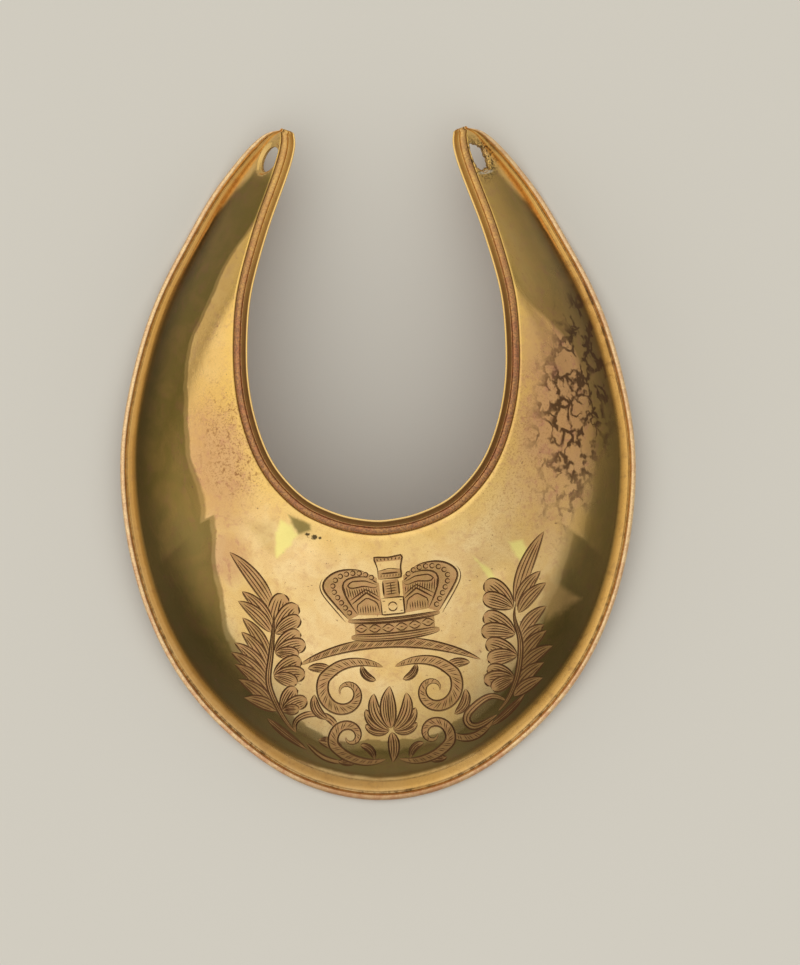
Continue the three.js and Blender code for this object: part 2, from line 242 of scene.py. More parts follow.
def edges_at(row):
    """Plan positions of the outer edge and of the neck edge at each row."""
    outer = np.stack([ALONG["outer_x"](row) * WIDTH / 2, ALONG["outer_y"](row) * HEIGHT / 2], -1)
    neck_y = PLATE_DEPTH - HEIGHT / 2 + ALONG["neck_y"](row) * (HEIGHT - PLATE_DEPTH)
    neck = np.stack([ALONG["neck_x"](row) * NECK_WIDTH / 2, neck_y], -1)
    return outer, neck


def station_at(row):
    """Sizes of the section at each row: where it starts, which way it runs and its mouldings.
    The rim grows finer in the narrow horns, and the cove's parabola and the dome meet with
    one slope."""
    outer, neck = edges_at(row)
    breadth = np.linalg.norm(neck - outer, axis=-1)
    inward = (neck - outer) / breadth[..., None]
    fade = (breadth - NECK_RIM) / (RIM_FADE - NECK_RIM)
    fine = np.clip(RIM_LEAST_SHARE + (1 - RIM_LEAST_SHARE) * fade, RIM_LEAST_SHARE, 1)
    cove = ALONG["cove"](row) * COVE * fine
    cove_start = (ROLL + GROOVE) * fine
    dome_start = cove_start + cove
    neck_scale = np.minimum(1, (breadth - dome_start - GROOVE) / NECK_RIM)
    dome_end = breadth - NECK_RIM * neck_scale
    foot = ALONG["arch"](row) * RIM_ARCH + ALONG["lift"](row) * TIP_LIFT - REST_WEAR
    lip_top = NECK_SLOPE * (NECK_RIM - LIP / 2) + BAND_RISE + LIP / 2
    dome_top = ALONG["neck_z"](row) * NECK_HEIGHT - lip_top * neck_scale
    cove_floor = foot + (GROOVE_FLOOR + COVE_STEP) * fine
    straight = ALONG["straight"](row)
    shoulder = ALONG["shoulder"](row)
    steepness = straight + (1 - straight) * shoulder
    dome_breadth = dome_end - dome_start
    foot_slope = steepness * (dome_top - cove_floor) / (dome_breadth + steepness * cove / 2)
    return SimpleNamespace(
        outer=outer, inward=inward, fine=fine, cove=cove, cove_start=cove_start,
        cove_floor=cove_floor, dome_start=dome_start, dome_breadth=dome_breadth,
        dome_end=dome_end, dome_top=dome_top, neck_scale=neck_scale, foot=foot,
        straight=straight, shoulder=shoulder, foot_slope=foot_slope,
    )


def widened(station):
    """The station's sizes with one more axis, to meet an array of points along the section."""
    return SimpleNamespace(**{
        name: value if value.ndim > station.fine.ndim else value[..., None]
        for name, value in vars(station).items()
    })


def dome_profile(s, v):
    """Distance, height and slope of the dome at a share v of its breadth: the height is
    a v + (1 - a)(1 - (1 - v)^p) of the rise, with a and p the straight and shoulder shares."""
    base = s.cove_floor + s.foot_slope * s.cove / 2
    rise = s.dome_top - base
    left = np.clip(1 - v, 0, 1)
    height = s.straight * v + (1 - s.straight) * (1 - left ** s.shoulder)
    slope = s.straight + (1 - s.straight) * s.shoulder * left ** (s.shoulder - 1)
    return s.dome_start + v * s.dome_breadth, base + rise * height, rise * slope / s.dome_breadth


def cove_profile(s, u):
    """Distance, height and slope of the cove at a share u of its breadth, a parabola."""
    height = s.cove_floor + s.foot_slope * s.cove * u ** 2 / 2
    return s.cove_start + u * s.cove, height, s.foot_slope * u


def beneath(d, z, slope, thickness):
    """The point one sheet thickness under a point of the front, square to its slope."""
    length = np.hypot(1, slope)
    return d + thickness * slope / length, z - thickness / length


def lowering(x, y):
    """How far dents and unevenness lower the sheet: round dents exp(-r^2 / R^2) and waves
    (1 - cos) / 2 that run in their own directions."""
    depth = np.zeros_like(x)
    for share_x, share_y, radius, share in DENTS:
        dx = x - share_x * WIDTH / 2
        dy = y - share_y * HEIGHT / 2
        depth = depth + share * DENT_DEPTH * np.exp(-(dx * dx + dy * dy) / (radius * DENT_RADIUS) ** 2)
    for length, degrees, height in WAVES:
        angle = math.radians(degrees)
        phase = 2 * math.pi * (x * math.cos(angle) + y * math.sin(angle)) / length
        depth = depth + height * (1 - np.cos(phase + length)) / 2
    return depth


def section_at(station):
    """The closed section at each station. Each moulding gives its distances in from the outer
    edge and its heights; those with a smooth face give the direction that they run in too, so
    that their shading is exact. Returns these as arrays (stations, points) and the place of
    each point on the section."""
    s = widened(station)
    runs = []

    def run(place, d, z, along_d=None, along_z=None):
        """Adds a moulding, its points' places rising evenly from its own."""
        shape = np.broadcast_shapes(d.shape, z.shape)
        steps = place + np.arange(shape[-1]) / shape[-1]
        zero = np.zeros(shape)
        runs.append([
            np.broadcast_to(d, shape),
            np.broadcast_to(z, shape),
            zero if along_d is None else zero + along_d,
            zero if along_z is None else zero + along_z,
            zero + steps,
        ])

    radius = ROLL * s.fine / 2
    angle = np.radians(np.linspace(*ROLL_TURN, ROLL_POINTS))
    run(
        ON_ROLL, radius * (1 + np.cos(angle)), s.foot + radius * (1 + np.sin(angle)),
        np.sin(angle), -np.cos(angle),
    )
    groove = np.array([0.2, 0.5, 0.8])
    rise = np.array([0.05, 0.0, 0.03])
    run(ON_GROOVE, (ROLL + GROOVE * groove) * s.fine, s.foot + (GROOVE_FLOOR + rise) * s.fine)
    u = np.arange(COVE_POINTS) / COVE_POINTS
    d, z, slope = cove_profile(s, u)
    run(ON_COVE, d, z, np.minimum(1, u * COVE_POINTS), slope)
    v = np.linspace(0, 1, DOME_POINTS) ** CROWDING
    d, z, slope = dome_profile(s, v)
    inner = np.append(np.ones(DOME_POINTS - 1), 0)
    run(ON_DOME, d, z, inner, slope * inner)

    def neck_point(place, across, height):
        """Adds a moulding given from the dome's end, on a plane that slopes with NECK_SLOPE."""
        run(place, s.dome_end + across * s.neck_scale,
            s.dome_top + (NECK_SLOPE * across + height) * s.neck_scale)

    neck_point(ON_NECK_GROOVE, NECK_GROOVE * np.array([0.3, 0.6]), -NECK_GROOVE_DEPTH * np.ones(2))
    angle = math.pi * np.linspace(1, 0, BEAD_POINTS)
    neck_point(ON_BEAD, NECK_GROOVE + BEAD / 2 * (1 + np.cos(angle)), BEAD_RISE * np.sin(angle))
    share = np.arange(1, BAND_POINTS + 1) / BAND_POINTS
    neck_point(ON_BAND, NECK_GROOVE + BEAD + BAND * share, BAND_RISE * share ** 2)
    angle = np.radians(np.linspace(*LIP_TURN, LIP_POINTS))
    neck_point(ON_LIP, NECK_RIM - LIP / 2 * (1 - np.cos(angle)), BAND_RISE + LIP / 2 * np.sin(angle))
    neck_point(ON_BACK, *np.array(NECK_EDGE).T)
    v = np.linspace(1, 0, BACK_POINTS) ** CROWDING * BACK_SHARE
    d, z, slope = dome_profile(s, v)
    run(ON_BACK, *beneath(d, z, slope, THICKNESS * s.fine ** 0.5))
    u = np.array([0.75, 0.5, 0.25, 0.0])
    d, z, slope = cove_profile(s, u)
    sheet = (EDGE_THICKNESS + (THICKNESS - EDGE_THICKNESS) * u) * s.fine
    run(ON_BACK, *beneath(d, z, slope, sheet))
    return [np.concatenate(parts, axis=-1) for parts in zip(*runs)]


def placed(station, d, z):
    """Points of the sections in space: out from the outer edge along the section's direction,
    less what lowers the sheet there."""
    plan = station.outer[:, None, :] + station.inward[:, None, :] * d[..., None]
    x = plan[..., 0]
    y = plan[..., 1]
    return np.stack([x, y, np.maximum(z - lowering(x, y), 0)], -1)


def unit(vectors):
    """Vectors of length one; a vector of no length stays as it is."""
    length = np.linalg.norm(vectors, axis=-1, keepdims=True)
    return vectors / np.where(length > 0, length, 1)


def rings_at(rows):
    """All the ring points, their normals and their places. A normal is the cross product of
    the step from ring to ring and the direction along the section; where a section turns a
    corner it is left at zero."""
    station = station_at(rows)
    d, z, along_d, along_z, place = section_at(station)
    points = placed(station, d, z)
    small = 0.01
    before = station_at(rows - small)
    after = station_at(rows + small)
    ring_step = placed(after, *section_at(after)[:2]) - placed(before, *section_at(before)[:2])
    ahead = placed(station, d + small * along_d, z + small * along_z)
    behind = placed(station, d - small * along_d, z - small * along_z)
    normals = unit(np.cross(ring_step, ahead - behind))
    return points, normals, place


def onto_rows(xy, low, high):
    """The row and the share of the dome's breadth for points of the plan: halving finds the
    row whose section passes through the point, where the cross product of the section's
    direction and the way to the point is nought."""
    low = np.full(len(xy), float(low))
    high = np.full(len(xy), float(high))
    for _ in range(32):
        middle = (low + high) / 2
        outer, neck = edges_at(middle)
        across = neck - outer
        way = xy - outer
        beyond = across[:, 0] * way[:, 1] - across[:, 1] * way[:, 0] < 0
        low = np.where(beyond, middle, low)
        high = np.where(beyond, high, middle)
    row = (low + high) / 2
    station = station_at(row)
    distance = np.einsum("ij,ij->i", xy - station.outer, station.inward)
    return row, (distance - station.dome_start) / station.dome_breadth


def dome_height(xy, low, high):
    """Height of the dome over points of the plan."""
    row, v = onto_rows(xy, low, high)
    return dome_profile(station_at(row), v)[1] - lowering(xy[:, 0], xy[:, 1])


def dome_points(xy, low, high):
    """Points of the dome over the plan, and normals (-dz/dx, -dz/dy, 1) by differences."""
    small = 0.01
    east = np.array([small, 0.0])
    north = np.array([0.0, small])
    height = dome_height(xy, low, high)
    slope_x = (dome_height(xy + east, low, high) - dome_height(xy - east, low, high)) / (2 * small)
    slope_y = (dome_height(xy + north, low, high) - dome_height(xy - north, low, high)) / (2 * small)
    normals = unit(np.stack([-slope_x, -slope_y, np.ones_like(height)], -1))
    return np.column_stack([xy, height]), normals


class Sheet:
    """The surface under construction: points with their normals, places and rows, and faces
    with the marks of what is cut and what is matted."""

    def __init__(self):
        self.points = np.zeros((0, 3))
        self.normals = np.zeros((0, 3))
        self.places = np.zeros(0)
        self.rows = np.zeros(0)
        self.faces = []
        self.marks = []

    def add_points(self, points, normals, places, rows):
        """Adds points and returns their numbers."""
        first = len(self.points)
        self.points = np.concatenate([self.points, points])
        self.normals = np.concatenate([self.normals, normals])
        self.places = np.concatenate([self.places, places])
        self.rows = np.concatenate([self.rows, rows])
        return np.arange(first, len(self.points))

    def add_faces(self, faces, cut=0.0, matted=0.0):
        """Adds faces, each a row of point numbers, with their marks."""
        self.faces.extend(faces)
        self.marks.extend(np.broadcast_to([cut, matted], (len(faces), 2)))


def bowed(xy, border):
    """Points of the plan as the triangulation takes them, from the border's middle: r becomes
    r (1 - k r^2), with r a share of the border's reach, so that no three points of a straight
    edge of the border lie in line. They are rounded as a mesh's coordinates are."""
    middle = border.mean(axis=0)
    reach = np.linalg.norm(border - middle, axis=1).max()
    offset = (xy - middle) / reach
    bent = reach * offset * (1 - BOW * (offset ** 2).sum(axis=1, keepdims=True))
    return bent.astype(np.float32).astype(float)


def unbowed(xy, border):
    """The points that bowed turns into these, found by repeating r = r' / (1 - k r^2)."""
    middle = border.mean(axis=0)
    reach = np.linalg.norm(border - middle, axis=1).max()
    bent = xy / reach
    offset = bent
    for _ in range(10):
        offset = bent / (1 - BOW * (offset ** 2).sum(axis=1, keepdims=True))
    return middle + reach * offset


def stitched(sheet, known, extra_xy, lines, border, left_out=None):
    """Triangles between points of the plan: known points of the sheet, new points, and lines
    that the triangles keep to. Only triangles whose middle lies in the border, and outside
    the outline left_out, are kept. Returns the sheet's number of each point, or -1 for a new
    one, the points' plan positions and the triangles, all counter-clockwise in the plan."""
    known_xy = sheet.points[known][:, :2]
    all_xy = np.concatenate([known_xy, extra_xy]) if len(extra_xy) else known_xy
    all_xy = bowed(all_xy, border)
    plan, _, triangles, sources, _, _ = delaunay_2d_cdt(
        [Vector(point) for point in all_xy.tolist()], np.asarray(lines).tolist(), [], 0, 1e-6, True,
    )
    bent = np.array([tuple(point) for point in plan])
    numbers = np.full(len(bent), -1)
    for i, merged in enumerate(sources):
        for source in merged:
            if source < len(known):
                numbers[i] = known[source]
    triangles = np.array(triangles)
    middles = bent[triangles].mean(axis=1)
    keep = inside(middles, bowed(border, border))
    if left_out is not None:
        keep &= ~inside(middles, bowed(left_out, border))
    return numbers, unbowed(bent, border), triangles[keep]


def loop_lines(first, count):
    """The lines round a closed outline whose points are numbered from first."""
    at = np.arange(first, first + count)
    return np.stack([at, np.roll(at, -1)], -1)


def any_inside(points, outlines):
    """Which points lie in at least one of the outlines."""
    found = np.zeros(len(points), bool)
    for outline in outlines:
        near = np.flatnonzero(np.all(
            (points >= outline.min(axis=0)) & (points <= outline.max(axis=0)) & ~found[:, None], axis=1,
        ))
        if len(near):
            found[near] = inside(points[near], outline)
    return found


def border_of(numbers, first_ring, last_ring, first_column, last_column):
    """Point numbers round a block of the rings, in order."""
    top = numbers[first_ring:last_ring, first_column]
    right = numbers[last_ring, first_column:last_column]
    bottom = numbers[last_ring:first_ring:-1, last_column]
    left = numbers[first_ring, last_column:first_column:-1]
    return np.concatenate([top, right, bottom, left])


# Engraving: every line is a tapering groove, and the leaves and bands between their outlines
# are matted
CUT_SLOPE = 0.75
OUTLINE_CUT = 0.30
HATCH_CUT = 0.17
STEP = 0.55
ENGRAVED_REACH = 6.5           # rows to either side of the middle that are engraved
ENGRAVED_LIMIT = 0.98          # the highest mark on the dome, short of the neck groove's dirt


class Engraving:
    """The cut lines and the matted areas of the plan. What is engraved first lies in front:
    lines drawn later stop where they would cross it."""

    def __init__(self):
        self.fronts = []
        self.cuts = []
        self.areas = []

    def visible(self, line):
        """The stretches of a line that no area in front covers."""
        hidden = np.zeros(len(line), bool)
        for low, high, area in self.fronts:
            near = np.all((line > low) & (line < high), axis=1)
            if near.any():
                hidden[near] |= inside(line[near], area)
        breaks = np.flatnonzero(np.diff(np.concatenate([[True], hidden, [True]]).astype(int)))
        return [line[a:b] for a, b in zip(breaks[::2], breaks[1::2]) if b - a >= 3]

    def cut(self, line, width, step=STEP):
        """Cuts the visible stretches of a line."""
        even = stepped(line, step)
        for stretch in self.visible(resampled(even, 4 * len(even))):
            if length_of(stretch) > 2 * width:
                self.cuts.append((stepped(stretch, step), width))

    def area(self, outline, matted=True):
        """Marks an area as matted, if it is, and lets it cover what is engraved later."""
        if matted:
            self.areas.append(outline)
        margin = 0.02
        self.fronts.append((outline.min(axis=0) - margin, outline.max(axis=0) + margin, outline))


def inside(points, outline):
    """Which points lie in an outline: a level line from the point crosses it an odd number of
    times."""
    x = points[:, :1]
    y = points[:, 1:]
    ax, ay = outline[:, 0], outline[:, 1]
    bx, by = np.roll(ax, -1), np.roll(ay, -1)
    spans = (ay > y) != (by > y)
    run = np.where(by == ay, 1, by - ay)
    crossing = ax + (y - ay) * (bx - ax) / run
    return (np.sum(spans & (x < crossing), axis=1) % 2).astype(bool)


def length_of(line):
    """How long a line is."""
    return np.linalg.norm(np.diff(line, axis=0), axis=1).sum()


def stepped(line, step):
    """A line's points moved to even steps of about a given length."""
    return resampled(line, max(3, int(round(length_of(line) / step)) + 1))


def resampled(line, count):
    """A line's points moved to even steps along it."""
    travelled = np.concatenate([[0], np.cumsum(np.linalg.norm(np.diff(line, axis=0), axis=1))])
    at = np.linspace(0, travelled[-1], count)
    return np.stack([np.interp(at, travelled, line[:, axis]) for axis in (0, 1)], -1)


def through(points, per_span=8):
    """A smooth line through a few points."""
    points = np.asarray(points, float)
    at = np.linspace(0, len(points) - 1, per_span * (len(points) - 1) + 1)
    return np.stack([smooth_curve(points[:, axis])(at) for axis in (0, 1)], -1)


def sideways(line):
    """Unit vectors to the left of a line's direction."""
    ahead = unit(np.gradient(line, axis=0))
    return np.stack([-ahead[:, 1], ahead[:, 0]], -1)


def blade(engraving, base, tip, breadth, bow=0.06, blunt=0.9, ribs=(-0.55, 0.55), rib_to=0.88):
    """A leaf from base to tip. Its middle line is a parabola of height bow, its half breadth
    follows s^0.7 (1 - s)^blunt, and lines run along it at shares of the half breadth."""
    base = np.asarray(base, float)
    tip = np.asarray(tip, float)
    s = np.linspace(0, 1, 25)
    way = tip - base
    square = np.array([-way[1], way[0]])
    middle = base + way * s[:, None] + square * (4 * bow * s * (1 - s))[:, None]
    shape = s ** 0.7 * (1 - s) ** blunt
    half = breadth / 2 * shape / shape.max()
    side = sideways(middle) * half[:, None]
    left = middle + side
    right = middle - side
    engraving.cut(left, OUTLINE_CUT)
    engraving.cut(right, OUTLINE_CUT)
    end = int(rib_to * 25)
    engraving.cut(middle[:end], OUTLINE_CUT * 0.8)
    for share in ribs:
        engraving.cut((middle + side * share)[3:end - 1], HATCH_CUT)
    engraving.area(np.concatenate([left, right[-2:0:-1]]))


def ribbon(engraving, line, breadth, hatch=0.62, slant=0.5, ends=(0.5, 0.5), lines=()):
    """A band along a line, as broad in the middle as breadth says and narrower to its ends by
    a power of sin(pi s), outlined and hatched across at a slant."""
    line = resampled(line, max(12, int(length_of(line) / 0.4)))
    s = np.linspace(0, 1, len(line))
    taper = np.sin(math.pi * np.clip(s, 0.001, 0.5)) ** ends[0]
    taper = np.where(s > 0.5, np.sin(math.pi * np.clip(s, 0.5, 0.999)) ** ends[1], taper)
    half = breadth / 2 * taper
    side = sideways(line) * half[:, None]
    left = line + side
    right = line - side
    engraving.cut(left, OUTLINE_CUT)
    engraving.cut(right, OUTLINE_CUT)
    for share in lines:
        engraving.cut((line + side * share)[1:-1], HATCH_CUT)
    if hatch:
        length = length_of(line)
        ahead = unit(np.gradient(line, axis=0))
        for share in np.arange(hatch, length - hatch, hatch) / length:
            i = int(share * (len(line) - 1))
            if half[i] > 0.35:
                lean = ahead[i] * half[i] * slant
                ends_of = [line[i] - side[i] * 0.85 - lean, line[i] + side[i] * 0.85 + lean]
                engraving.cut(np.linspace(*ends_of, 4), HATCH_CUT, step=1.2)
    engraving.area(np.concatenate([left, right[::-1]]))


def volute(centre, radius, start, turns, tighten=0.22):
    """A spiral round a centre whose radius shrinks to a share tighten over the turns; start is
    in degrees, and negative turns go clockwise."""
    s = np.linspace(0, 1, 40)
    angle = math.radians(start) + 2 * math.pi * turns * s
    reach = radius * tighten ** s
    return np.asarray(centre) + np.stack([reach * np.cos(angle), reach * np.sin(angle)], -1)


def ring(centre, radius, count=12):
    """A closed circle."""
    angle = np.linspace(0, 2 * math.pi, count + 1)
    return np.asarray(centre) + radius * np.stack([np.cos(angle), np.sin(angle)], -1)


# The left spray: its stem, the pointed leaves outside it as (tip, base) and the rounded
# leaves inside it as (tips, base)
LEFT_STEM = ((-17.6, -24.2), (-17.9, -28.1), (-18.4, -32.5), (-18.8, -35.9), (-18.1, -38.7),
             (-16.8, -41.5), (-15.4, -43.7), (-14.3, -44.8))
LEFT_TOP = ((-25.0, -14.4), (-17.6, -24.4))
LEFT_POINTED = (
    ((-23.0, -21.0), (-18.0, -27.2)), ((-23.7, -22.6), (-18.1, -28.0)),
    ((-23.0, -25.4), (-18.5, -32.8)), ((-23.2, -27.8), (-18.8, -34.3)),
    ((-24.4, -29.6), (-18.9, -35.4)), ((-25.0, -31.2), (-18.8, -37.0)),
    ((-24.4, -33.2), (-18.5, -38.6)), ((-23.8, -35.8), (-18.2, -40.4)),
    ((-22.9, -38.9), (-17.4, -41.2)),
)
LEFT_ROUNDED = (
    (((-16.0, -21.5), (-13.7, -23.4), (-13.2, -25.7)), (-17.5, -28.2)),
    (((-13.3, -28.0), (-12.4, -30.1), (-13.6, -31.9)), (-17.6, -31.4)),
    (((-13.2, -32.6), (-12.6, -35.2), (-14.0, -36.6)), (-17.9, -35.3)),
    (((-14.2, -37.2), (-12.3, -39.4), (-13.7, -41.0)), (-16.6, -41.2)),
)
RIGHT_STEM = ((22.8, -23.4), (22.5, -25.9), (23.2, -28.6), (23.5, -31.4), (23.1, -34.8),
              (22.4, -37.3), (21.2, -39.8), (19.7, -41.6))
RIGHT_TOP = ((27.6, -11.6), (22.7, -23.6))
RIGHT_POINTED = (
    ((27.0, -18.2), (22.9, -24.2)), ((27.9, -20.2), (23.2, -25.2)),
    ((27.9, -24.1), (23.4, -29.0)), ((27.5, -27.2), (23.6, -30.8)),
    ((27.9, -28.2), (23.5, -33.0)), ((28.9, -30.8), (23.5, -34.6)),
    ((27.4, -33.6), (22.9, -37.4)), ((27.2, -36.2), (22.3, -39.2)),
)
RIGHT_ROUNDED = (
    (((17.6, -19.9), (17.2, -22.6)), (22.3, -24.4)),
    (((17.3, -25.5), (16.9, -28.3)), (22.6, -28.8)),
    (((17.6, -30.2), (17.9, -33.0)), (22.9, -32.4)),
    (((17.8, -34.6), (17.3, -36.6), (18.6, -38.0)), (22.4, -36.2)),
)


def spray(engraving, stem, top, pointed, rounded, side):
    """A laurel spray: its stem in front, then the leaves from the foot upwards."""
    ribbon(engraving, through(stem), 0.8, hatch=0, ends=(0.9, 0.4), lines=(0.0,))
    for tip, base in reversed(pointed):
        blade(engraving, base, tip, 2.0, bow=0.07 * side)
    for tips, base in reversed(rounded):
        for tip in reversed(tips):
            reach = math.dist(tip, base)
            blade(engraving, base, tip, 0.42 * reach + 0.5, bow=-0.05 * side, blunt=0.42,
                  ribs=(-0.62, -0.3, 0.3, 0.62), rib_to=0.9)
    blade(engraving, top[1], top[0], 2.3, bow=0.05 * side, ribs=(-0.5, 0.5))


def in_plan(points, place, tilt, mirrored):
    """Points of a motif's own frame in the plan: mirrored or not, turned by its tilt and moved
    to its place."""
    points = np.atleast_2d(np.asarray(points, float))
    u = -points[:, 0] if mirrored else points[:, 0]
    v = points[:, 1]
    c, s = math.cos(tilt), math.sin(tilt)
    return np.array(place) + np.stack([u * c - v * s, u * s + v * c], -1)


# The crown, in its own frame: u to its right and v up from the middle of its lower band
CROWN_PLACE = (2.6, -28.3)
CROWN_TILT = math.radians(5)
CROWN_OUTER = ((7.5, 2.9), (8.9, 4.8), (10.6, 7.2), (11.3, 8.7), (10.9, 9.9), (9.3, 11.0),
               (7.2, 11.35), (5.1, 11.1), (3.6, 10.4), (2.2, 9.5))
CROWN_INNER = ((5.9, 3.6), (6.9, 5.3), (7.75, 7.2), (8.0, 8.7), (7.2, 9.7), (5.3, 10.0),
               (3.6, 9.6), (2.2, 8.6))


def crown_point(points, mirrored=False):
    """Points of the crown's frame in the plan."""
    return in_plan(points, CROWN_PLACE, CROWN_TILT, mirrored)


class CrownPart:
    """What cuts lines and marks areas that are given in the crown's frame, on its right side or
    mirrored."""

    def __init__(self, engraving, mirrored=False):
        self.engraving = engraving
        self.mirrored = mirrored

    def cut(self, points, width=OUTLINE_CUT, step=STEP):
        """Cuts a line."""
        self.engraving.cut(crown_point(points, self.mirrored), width, step)

    def area(self, points, matted=True):
        """Marks an area."""
        self.engraving.area(crown_point(points, self.mirrored), matted)


def crown_bands(part):
    """Two bands that sag by a parabola, and a row of lozenges between them."""
    for level, half, sag, depth in ((0.0, 7.4, 0.55, 1.25), (2.75, 7.7, 0.5, 0.8)):
        u = np.linspace(-half, half, 25)
        line = np.stack([u, level - sag * (1 - (u / half) ** 2)], -1)
        ribbon(part.engraving, crown_point(line), depth, hatch=0, ends=(0.16, 0.16), lines=(-0.4, 0.35))
    lozenges = 6
    half = 6.7
    for i in range(lozenges):
        left = -half + 2 * half * i / lozenges
        right = left + 2 * half / lozenges
        middle = (left + right) / 2
        sag = 0.5 * (1 - (middle / half) ** 2)
        low, high = 0.7 - sag, 2.25 - sag
        waist = (low + high) / 2
        part.cut([(left, waist), (middle, high), (right, waist)], HATCH_CUT * 1.3)
        part.cut([(left, waist), (middle, low), (right, waist)], HATCH_CUT * 1.3)
        part.cut([(middle - 0.35, waist), (middle + 0.35, waist)], HATCH_CUT)
    part.area([(-half, 0.3), (0, -0.1), (half, 0.3), (half, 2.4), (0, 2.1), (-half, 2.4)])


def crown_finial(part):
    """A cross-shaped finial with a hatched foot and top."""
    finial = [(-2.0, 9.2), (-1.9, 11.0), (-2.5, 13.0), (0, 12.7), (2.5, 13.0), (1.9, 11.0), (2.0, 9.2)]
    part.cut(finial + finial[:1])
    part.cut([(-1.6, 10.1), (1.6, 10.1)])
    part.cut([(-1.8, 10.6), (0, 10.9), (1.8, 10.6)], HATCH_CUT)
    for u in np.arange(-1.5, 1.6, 0.5):
        part.cut([(u, 9.4), (u + 0.1, 10.0)], HATCH_CUT)
        part.cut([(u * 1.15, 12.2), (u * 1.3, 12.7)], HATCH_CUT * 1.4)
    part.area([(-2.0, 9.2), (-1.9, 10.7), (1.9, 10.7), (2.0, 9.2)])
    part.area([(-2.2, 12.1), (-2.5, 13.0), (0, 12.7), (2.5, 13.0), (2.2, 12.1)])
    part.area(finial, matted=False)


def crown_jewel(part):
    """A square jewel with a ring in it, and the hatched rib above."""
    jewel = [(-1.9, 3.2), (-1.9, 6.0), (1.9, 6.0), (1.9, 3.2)]
    part.cut([(-1.9, 6.0), (-1.9, 3.2), (1.9, 3.2), (1.9, 6.0), (-1.9, 6.0)])
    round_jewel = ring((0, 4.5), 0.75)
    for half_ring in (round_jewel[:7], round_jewel[6:]):
        part.cut(half_ring, OUTLINE_CUT * 0.8, step=0.3)
    for corner_u, corner_v in ((-1.4, 3.7), (1.4, 3.7), (-1.4, 5.5), (1.4, 5.5)):
        part.cut([(corner_u - 0.3, corner_v), (corner_u + 0.3, corner_v)], HATCH_CUT)
    part.area(jewel, matted=False)
    part.cut([(-1.3, 6.2), (-1.3, 8.9)])
    part.cut([(1.3, 6.2), (1.3, 8.9)])
    for v in np.arange(6.6, 8.8, 0.45):
        part.cut([(-1.0, v), (1.0, v + 0.1)], HATCH_CUT)
    part.cut([(0, 6.4), (0, 8.7)], HATCH_CUT)
    part.area([(-1.3, 6.0), (-1.3, 9.0), (1.3, 9.0), (1.3, 6.0)])


def crown_side(part):
    """One side: a bowed arch set with beads, a pale leaf under it and the hatched cap."""
    outer = through(CROWN_OUTER)
    inner = through(CROWN_INNER)
    count = 15
    middle = (resampled(outer, count) + resampled(inner, count)) / 2
    for centre in middle[1:-1]:
        bead = ring(centre, 0.42, 10)
        part.cut(bead, HATCH_CUT * 1.25, step=0.3)
        part.area(bead[:-1], matted=False)
    part.cut(outer, OUTLINE_CUT * 1.15)
    part.cut(inner, OUTLINE_CUT)
    rising = outer[:34]
    outside = rising + np.linspace(0.65, 0.45, len(rising))[:, None] * -sideways(rising)
    part.cut(outside, HATCH_CUT * 1.2)
    part.area(np.concatenate([outer, inner[::-1]]))
    pale = [(2.1, 8.3), (4.2, 9.2), (6.4, 9.3), (7.4, 8.6), (6.6, 8.1), (4.4, 8.35), (2.6, 7.8)]
    part.cut(pale + pale[:1], HATCH_CUT * 1.4)
    part.area(pale, matted=False)
    chevron = [(2.0, 5.6), (4.2, 7.2), (6.9, 5.4)]
    part.cut(chevron, OUTLINE_CUT)
    part.cut([(2.0, 6.2), (4.2, 7.8), (7.2, 6.0)], HATCH_CUT * 1.3)
    part.cut([(2.2, 3.5), (2.5, 5.4), (4.2, 6.4), (6.0, 5.2), (5.8, 3.7)], HATCH_CUT * 1.3)
    for u in np.arange(2.9, 5.7, 0.42):
        part.cut([(u, 3.7), (u, 5.3 - 0.25 * abs(u - 4.2))], HATCH_CUT)
    for u in np.arange(2.3, 7.6, 0.4):
        part.cut([(u, 6.2 + 0.15 * (4.2 - abs(u - 4.2))), (u + 0.35, 8.6)], HATCH_CUT)
    part.area([(1.9, 3.2), (1.9, 8.6), (3.6, 9.6), (5.3, 10.0), (7.2, 9.7), (8.0, 8.7), (7.7, 7.2),
               (6.9, 5.3), (5.9, 3.6)])


def crown(engraving):
    """An arched crown, what lies in front first: its bands, its finial, its jewel and its two
    sides."""
    middle = CrownPart(engraving)
    for add_part in (crown_bands, crown_finial, crown_jewel):
        add_part(middle)
    for mirrored in (True, False):
        crown_side(CrownPart(engraving, mirrored))


# Foliate scrollwork between the crown and the sprays, the same to both sides of a leaning
# middle line
SCROLL_PLACE = (1.6, -40.3)
SCROLL_TILT = math.radians(1.5)


def scroll_point(points, mirrored=False):
    """Points of the scrollwork's frame in the plan."""
    return in_plan(points, SCROLL_PLACE, SCROLL_TILT, mirrored)


# Leaves on each half: base, tip, breadth, bow and how blunt the tip is
SCROLL_FAN = (
    ((0.3, -4.2), (2.7, 2.0), 1.9, -0.16, 0.7),
    ((0.3, -4.2), (4.2, -0.6), 1.7, -0.16, 0.7),
    ((0.3, -4.2), (4.4, -3.2), 1.5, -0.16, 0.7),
)
SCROLL_LEAVES = (
    ((8.6, 5.2), (13.6, 6.6), 1.5, 0.12, 0.7),
    ((10.6, -2.0), (12.6, 2.2), 1.5, -0.2, 0.7),
    ((4.6, 7.0), (2.2, 4.2), 1.1, 0.2, 0.6),
    ((3.0, -9.2), (5.4, -6.6), 1.1, 0.2, 0.6),
    ((5.4, -9.0), (9.2, -9.2), 1.1, -0.1, 0.7),
)


